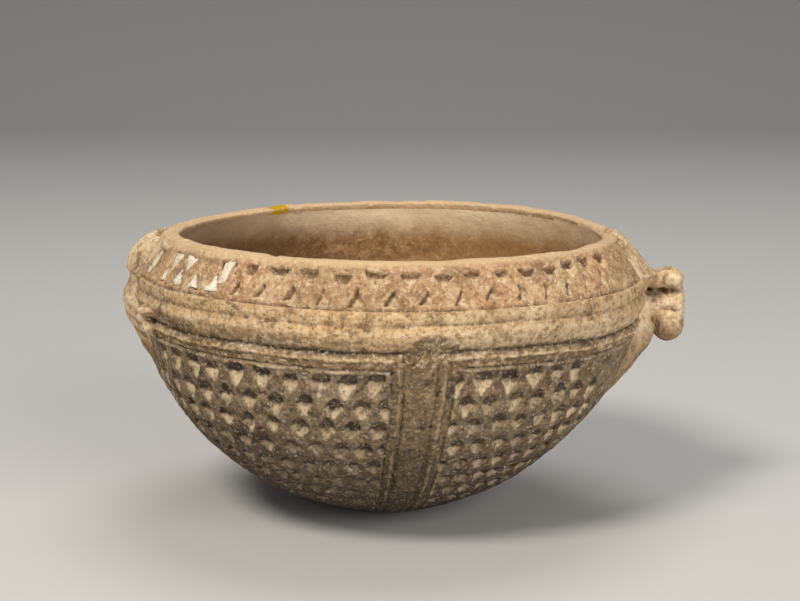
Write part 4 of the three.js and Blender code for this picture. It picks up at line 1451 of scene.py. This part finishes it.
class JAR_OT_broken_lug(bpy.types.Operator):
    """Build the broken lug: thick strap, torn stump and low buttress"""
    bl_idname = "jar.broken_lug"
    bl_label = "Broken lug"

    def execute(self, context):
        seam = SEAM_HEIGHT
        bm = pad_bmesh(180, [
            (seam - 38, -0.9, 7), (seam - 32, 0.9, 11), (seam - 26, 1.2, 13),
            (seam - 21.5, 1.6, 15), (seam - 19, 2.6, 16), (seam - 15, 3.6, 18),
            (seam - 12, 4.4, 20), (seam - 8, 5.2, 21), (seam - 5.5, 5.0, 21),
            (seam - 3.2, 3.9, 19), (seam - 1.5, 3.4, 18), (seam + 1, 3.7, 18),
            (seam + 4, 5.0, 19), (seam + 6.3, 4.8, 20), (seam + 8.2, 3.9, 20),
            (LIP_HEIGHT - 0.7, 2.2, 18),
        ])
        add_lump(bm, (-51.2, -19.4, LIP_HEIGHT - 2.0), (2.5, 4.2, 1.8))
        add_lump(bm, (-STUMP_REACH + 5.4, -3, CORDON_BASE + 1.6), (4.0, 8.5, 5.0))
        add_lump(bm, (-56.0, -26.8, CORDON_BASE + 2.4), (2.6, 2.6, 1.5))
        add_lump(bm, (-56.2, -26.0, CORDON_BASE - 1.6), (1.7, 1.6, 1.4))
        mesh = kneaded(bm, "broken_lug_clay")

        def folds(points):
            creases = np.sin(
                points[:, 1] * 2.1 + 0.4 * (points[:, 2] - seam) + rough(points, 5.0, 1.3))
            on_strap = smoothstep(seam - 1, seam + 3, points[:, 2])
            torn = 1 - smoothstep(seam - 5, seam - 2, points[:, 2])
            curved = np.sin(np.hypot(points[:, 1] + 16, points[:, 2] - seam - 6) * 1.9)
            return 0.12 * creases * on_strap + 0.13 * curved * torn

        # Painted shadow in the recesses round the torn stump
        weather(mesh, 0.08, folds, [
            ((-58.2, -22.6, CORDON_BASE + 4.6), (2.6, 3.2, 1.6), 0.9),
            ((-58.0, -25.5, CORDON_BASE + 0.4), (3.0, 3.4, 1.0), 0.7),
            ((-60.5, -17.0, CORDON_BASE - 3.0), (3.0, 5.0, 0.8), 0.5),
        ])
        add_piece(
            mesh, lug_clay(), "pale_clay",
            "left_lug_strap", "left_lug_stump", "left_lug_buttress")
        return {"FINISHED"}


class JAR_OT_paste(bpy.types.Operator):
    """Press the white paste into the notches that still hold it"""
    bl_idname = "jar.paste"
    bl_label = "White paste"

    def execute(self, context):
        material = lime_paste()
        upper, lower = notch_turns()
        fills = [(f"white_inlay_upper_{n + 1}", upper[i], True) for n, i in enumerate((0, 1, 3))]
        fills += [(f"white_inlay_lower_{n + 1}", lower[i], False) for n, i in enumerate(range(4))]
        draw = np.random.default_rng(RNG_SEED + 5)
        for node, turn, is_upper in fills:
            half = in_mm(sizes().notch_width) / 2
            long = 2.6 if is_upper else 2.0
            up = UPPER_NOTCH_RISE + 0.3 if is_upper else LOWER_NOTCH_RISE
            corners = [(-half, long), (half, long), (0, -long)] if is_upper else [
                (-half, -long), (0, long), (half, -long)]
            if node == "white_inlay_upper_3":
                corners = [(-1.5, long), (1.3, long + 0.4), (1.1, -long), (-1.1, -long - 0.4)]
            self.fill(node, corners, turn, up, 0.08, material, draw)
        groove = [(-1.15, -3.5), (1.15, -3.5), (1.15, 3.5), (-1.15, 3.5)]
        self.fill(
            "white_groove_fill", groove, GROOVE_TURN, GROOVE_RISE, GROOVE_LEAN, material, draw)
        return {"FINISHED"}

    def fill(self, node, corners, turn, up, lean, material, draw):
        """Presses one crumbly fill, a little shrunk and sunk, into a notch with these corners"""
        bm = bmesh.new()
        face = bm.faces.new([
            bm.verts.new((x * PASTE_SHRUNK + lean * y, y * PASTE_SHRUNK, -PASTE_SUNK))
            for x, y in corners])
        face.normal_update()
        if face.normal.z < 0:
            bmesh.ops.reverse_faces(bm, faces=[face])
        made = bmesh.ops.extrude_face_region(bm, geom=[face], use_keep_orig=True)
        lowered = [part for part in made["geom"] if isinstance(part, bmesh.types.BMVert)]
        bmesh.ops.translate(bm, vec=(0, 0, -PASTE_THICKNESS), verts=lowered)
        bmesh.ops.subdivide_edges(bm, edges=bm.edges, cuts=9, use_grid_fill=True)
        bmesh.ops.triangulate(bm, faces=[f for f in bm.faces if len(f.verts) > 4])
        bmesh.ops.recalc_face_normals(bm, faces=bm.faces)
        mesh = to_mesh(bm, f"{node}_lime")
        flat = read_points(mesh)
        shift = draw.uniform(0, 20)
        flat[:, 2] += 0.16 * rough(flat, 0.9, shift) * (flat[:, 2] > -0.5)
        flat[:, 0] += 0.32 * rough(flat, 1.3, shift + 3)
        flat[:, 1] += 0.32 * rough(flat, 1.3, shift + 6)
        radius, height, across, rise = collar_wall.at(up + flat[:, 1])
        angle = np.radians(turn) + flat[:, 0] / radius
        out = radius + across * flat[:, 2]
        placed = np.column_stack(
            [out * np.cos(angle), out * np.sin(angle), height + rise * flat[:, 2]])
        write_points(mesh, handmade(placed))
        write_layer(mesh, "tilt", np.zeros(len(flat)))
        write_layer(mesh, "hollow", 0.3 * rough(flat, 0.8, shift + 9))
        shade_smooth(mesh)
        add_piece(mesh, material, "white_paste", node)


class JAR_OT_stage(bpy.types.Operator):
    """Set up the floor, the light and the camera"""
    bl_idname = "jar.stage"
    bl_label = "Stage"

    def execute(self, context):
        scene = context.scene
        bm = bmesh.new()
        verts = [bm.verts.new(place) for place in BACKDROP_LINE]
        edges = [bm.edges.new(pair) for pair in zip(verts, verts[1:])]
        made = bmesh.ops.extrude_edge_only(bm, edges=edges)
        moved = [part for part in made["geom"] if isinstance(part, bmesh.types.BMVert)]
        bmesh.ops.translate(bm, vec=(BACKDROP_WIDTH, 0, 0), verts=moved)
        bmesh.ops.recalc_face_normals(bm, faces=bm.faces)
        mesh = to_mesh(bm, "floor")
        shade_smooth(mesh)
        floor = add_object("floor", mesh)

        # Matt grey paper under and behind the jar, which shows only its shadow
        paper = bpy.data.materials.new("matt_backdrop_paper")
        paper.use_nodes = True
        sheet = paper.node_tree.nodes["Principled BSDF"].inputs
        sheet["Base Color"].default_value = srgb("#bcbbb8")
        sheet["Roughness"].default_value = 0.9
        mesh.materials.append(paper)

        world = bpy.data.worlds.new("studio")
        scene.world = world
        world.use_nodes = True
        sky = world.node_tree.nodes["Background"].inputs
        sky["Color"].default_value = srgb("#dfe2e6")
        sky["Strength"].default_value = WORLD_STRENGTH

        for name, place, size, power, colour in LAMPS:
            light = bpy.data.lights.new(name, "AREA")
            light.shape = "DISK"
            light.size = size
            light.energy = power
            light.color = srgb(colour)[:3]
            lamp = add_object(name, light)
            lamp.location = place
            aim = Vector(LAMP_AIM) - Vector(place)
            lamp.rotation_euler = aim.to_track_quat("-Z", "Y").to_euler()

        camera_data = bpy.data.cameras.new("camera")
        camera_data.lens = CAMERA_LENS
        camera_data.sensor_width = 36
        camera = add_object("camera", camera_data)
        camera.location = CAMERA_PLACE
        camera.rotation_euler = (math.radians(CAMERA_TILT), 0, 0)
        scene.camera = camera
        scene.view_settings.view_transform = "Standard"
        return {"FINISHED"}


class JAR_PT_parts(bpy.types.Panel):
    bl_idname = "JAR_PT_parts"
    bl_label = "Chip-carved jar"
    bl_space_type = "VIEW_3D"
    bl_region_type = "UI"
    bl_category = "Jar"

    def draw(self, context):
        for operator in OPERATORS:
            self.layout.operator(operator.bl_idname)
        for group in (context.scene.jar_sizes, context.scene.jar_colours):
            for name in group.__annotations__:
                self.layout.prop(group, name)


OPERATORS = (
    JAR_OT_stage, JAR_OT_bowl_core, JAR_OT_panels, JAR_OT_ribs, JAR_OT_shoulder,
    JAR_OT_collar, JAR_OT_whole_lug, JAR_OT_broken_lug, JAR_OT_paste,
)
CLASSES = (JarSizes, JarColours, *OPERATORS, JAR_PT_parts)


def register():
    for kind in CLASSES:
        bpy.utils.register_class(kind)
    bpy.types.Scene.jar_sizes = bpy.props.PointerProperty(type=JarSizes)
    bpy.types.Scene.jar_colours = bpy.props.PointerProperty(type=JarColours)


def unregister():
    del bpy.types.Scene.jar_colours
    del bpy.types.Scene.jar_sizes
    for kind in reversed(CLASSES):
        bpy.utils.unregister_class(kind)


def main():
    register()
    bpy.ops.jar.stage()
    bpy.ops.jar.bowl_core()
    bpy.ops.jar.panels()
    bpy.ops.jar.ribs()
    bpy.ops.jar.shoulder()
    bpy.ops.jar.collar()
    bpy.ops.jar.whole_lug()
    bpy.ops.jar.broken_lug()
    bpy.ops.jar.paste()


if __name__ == "__main__":
    main()
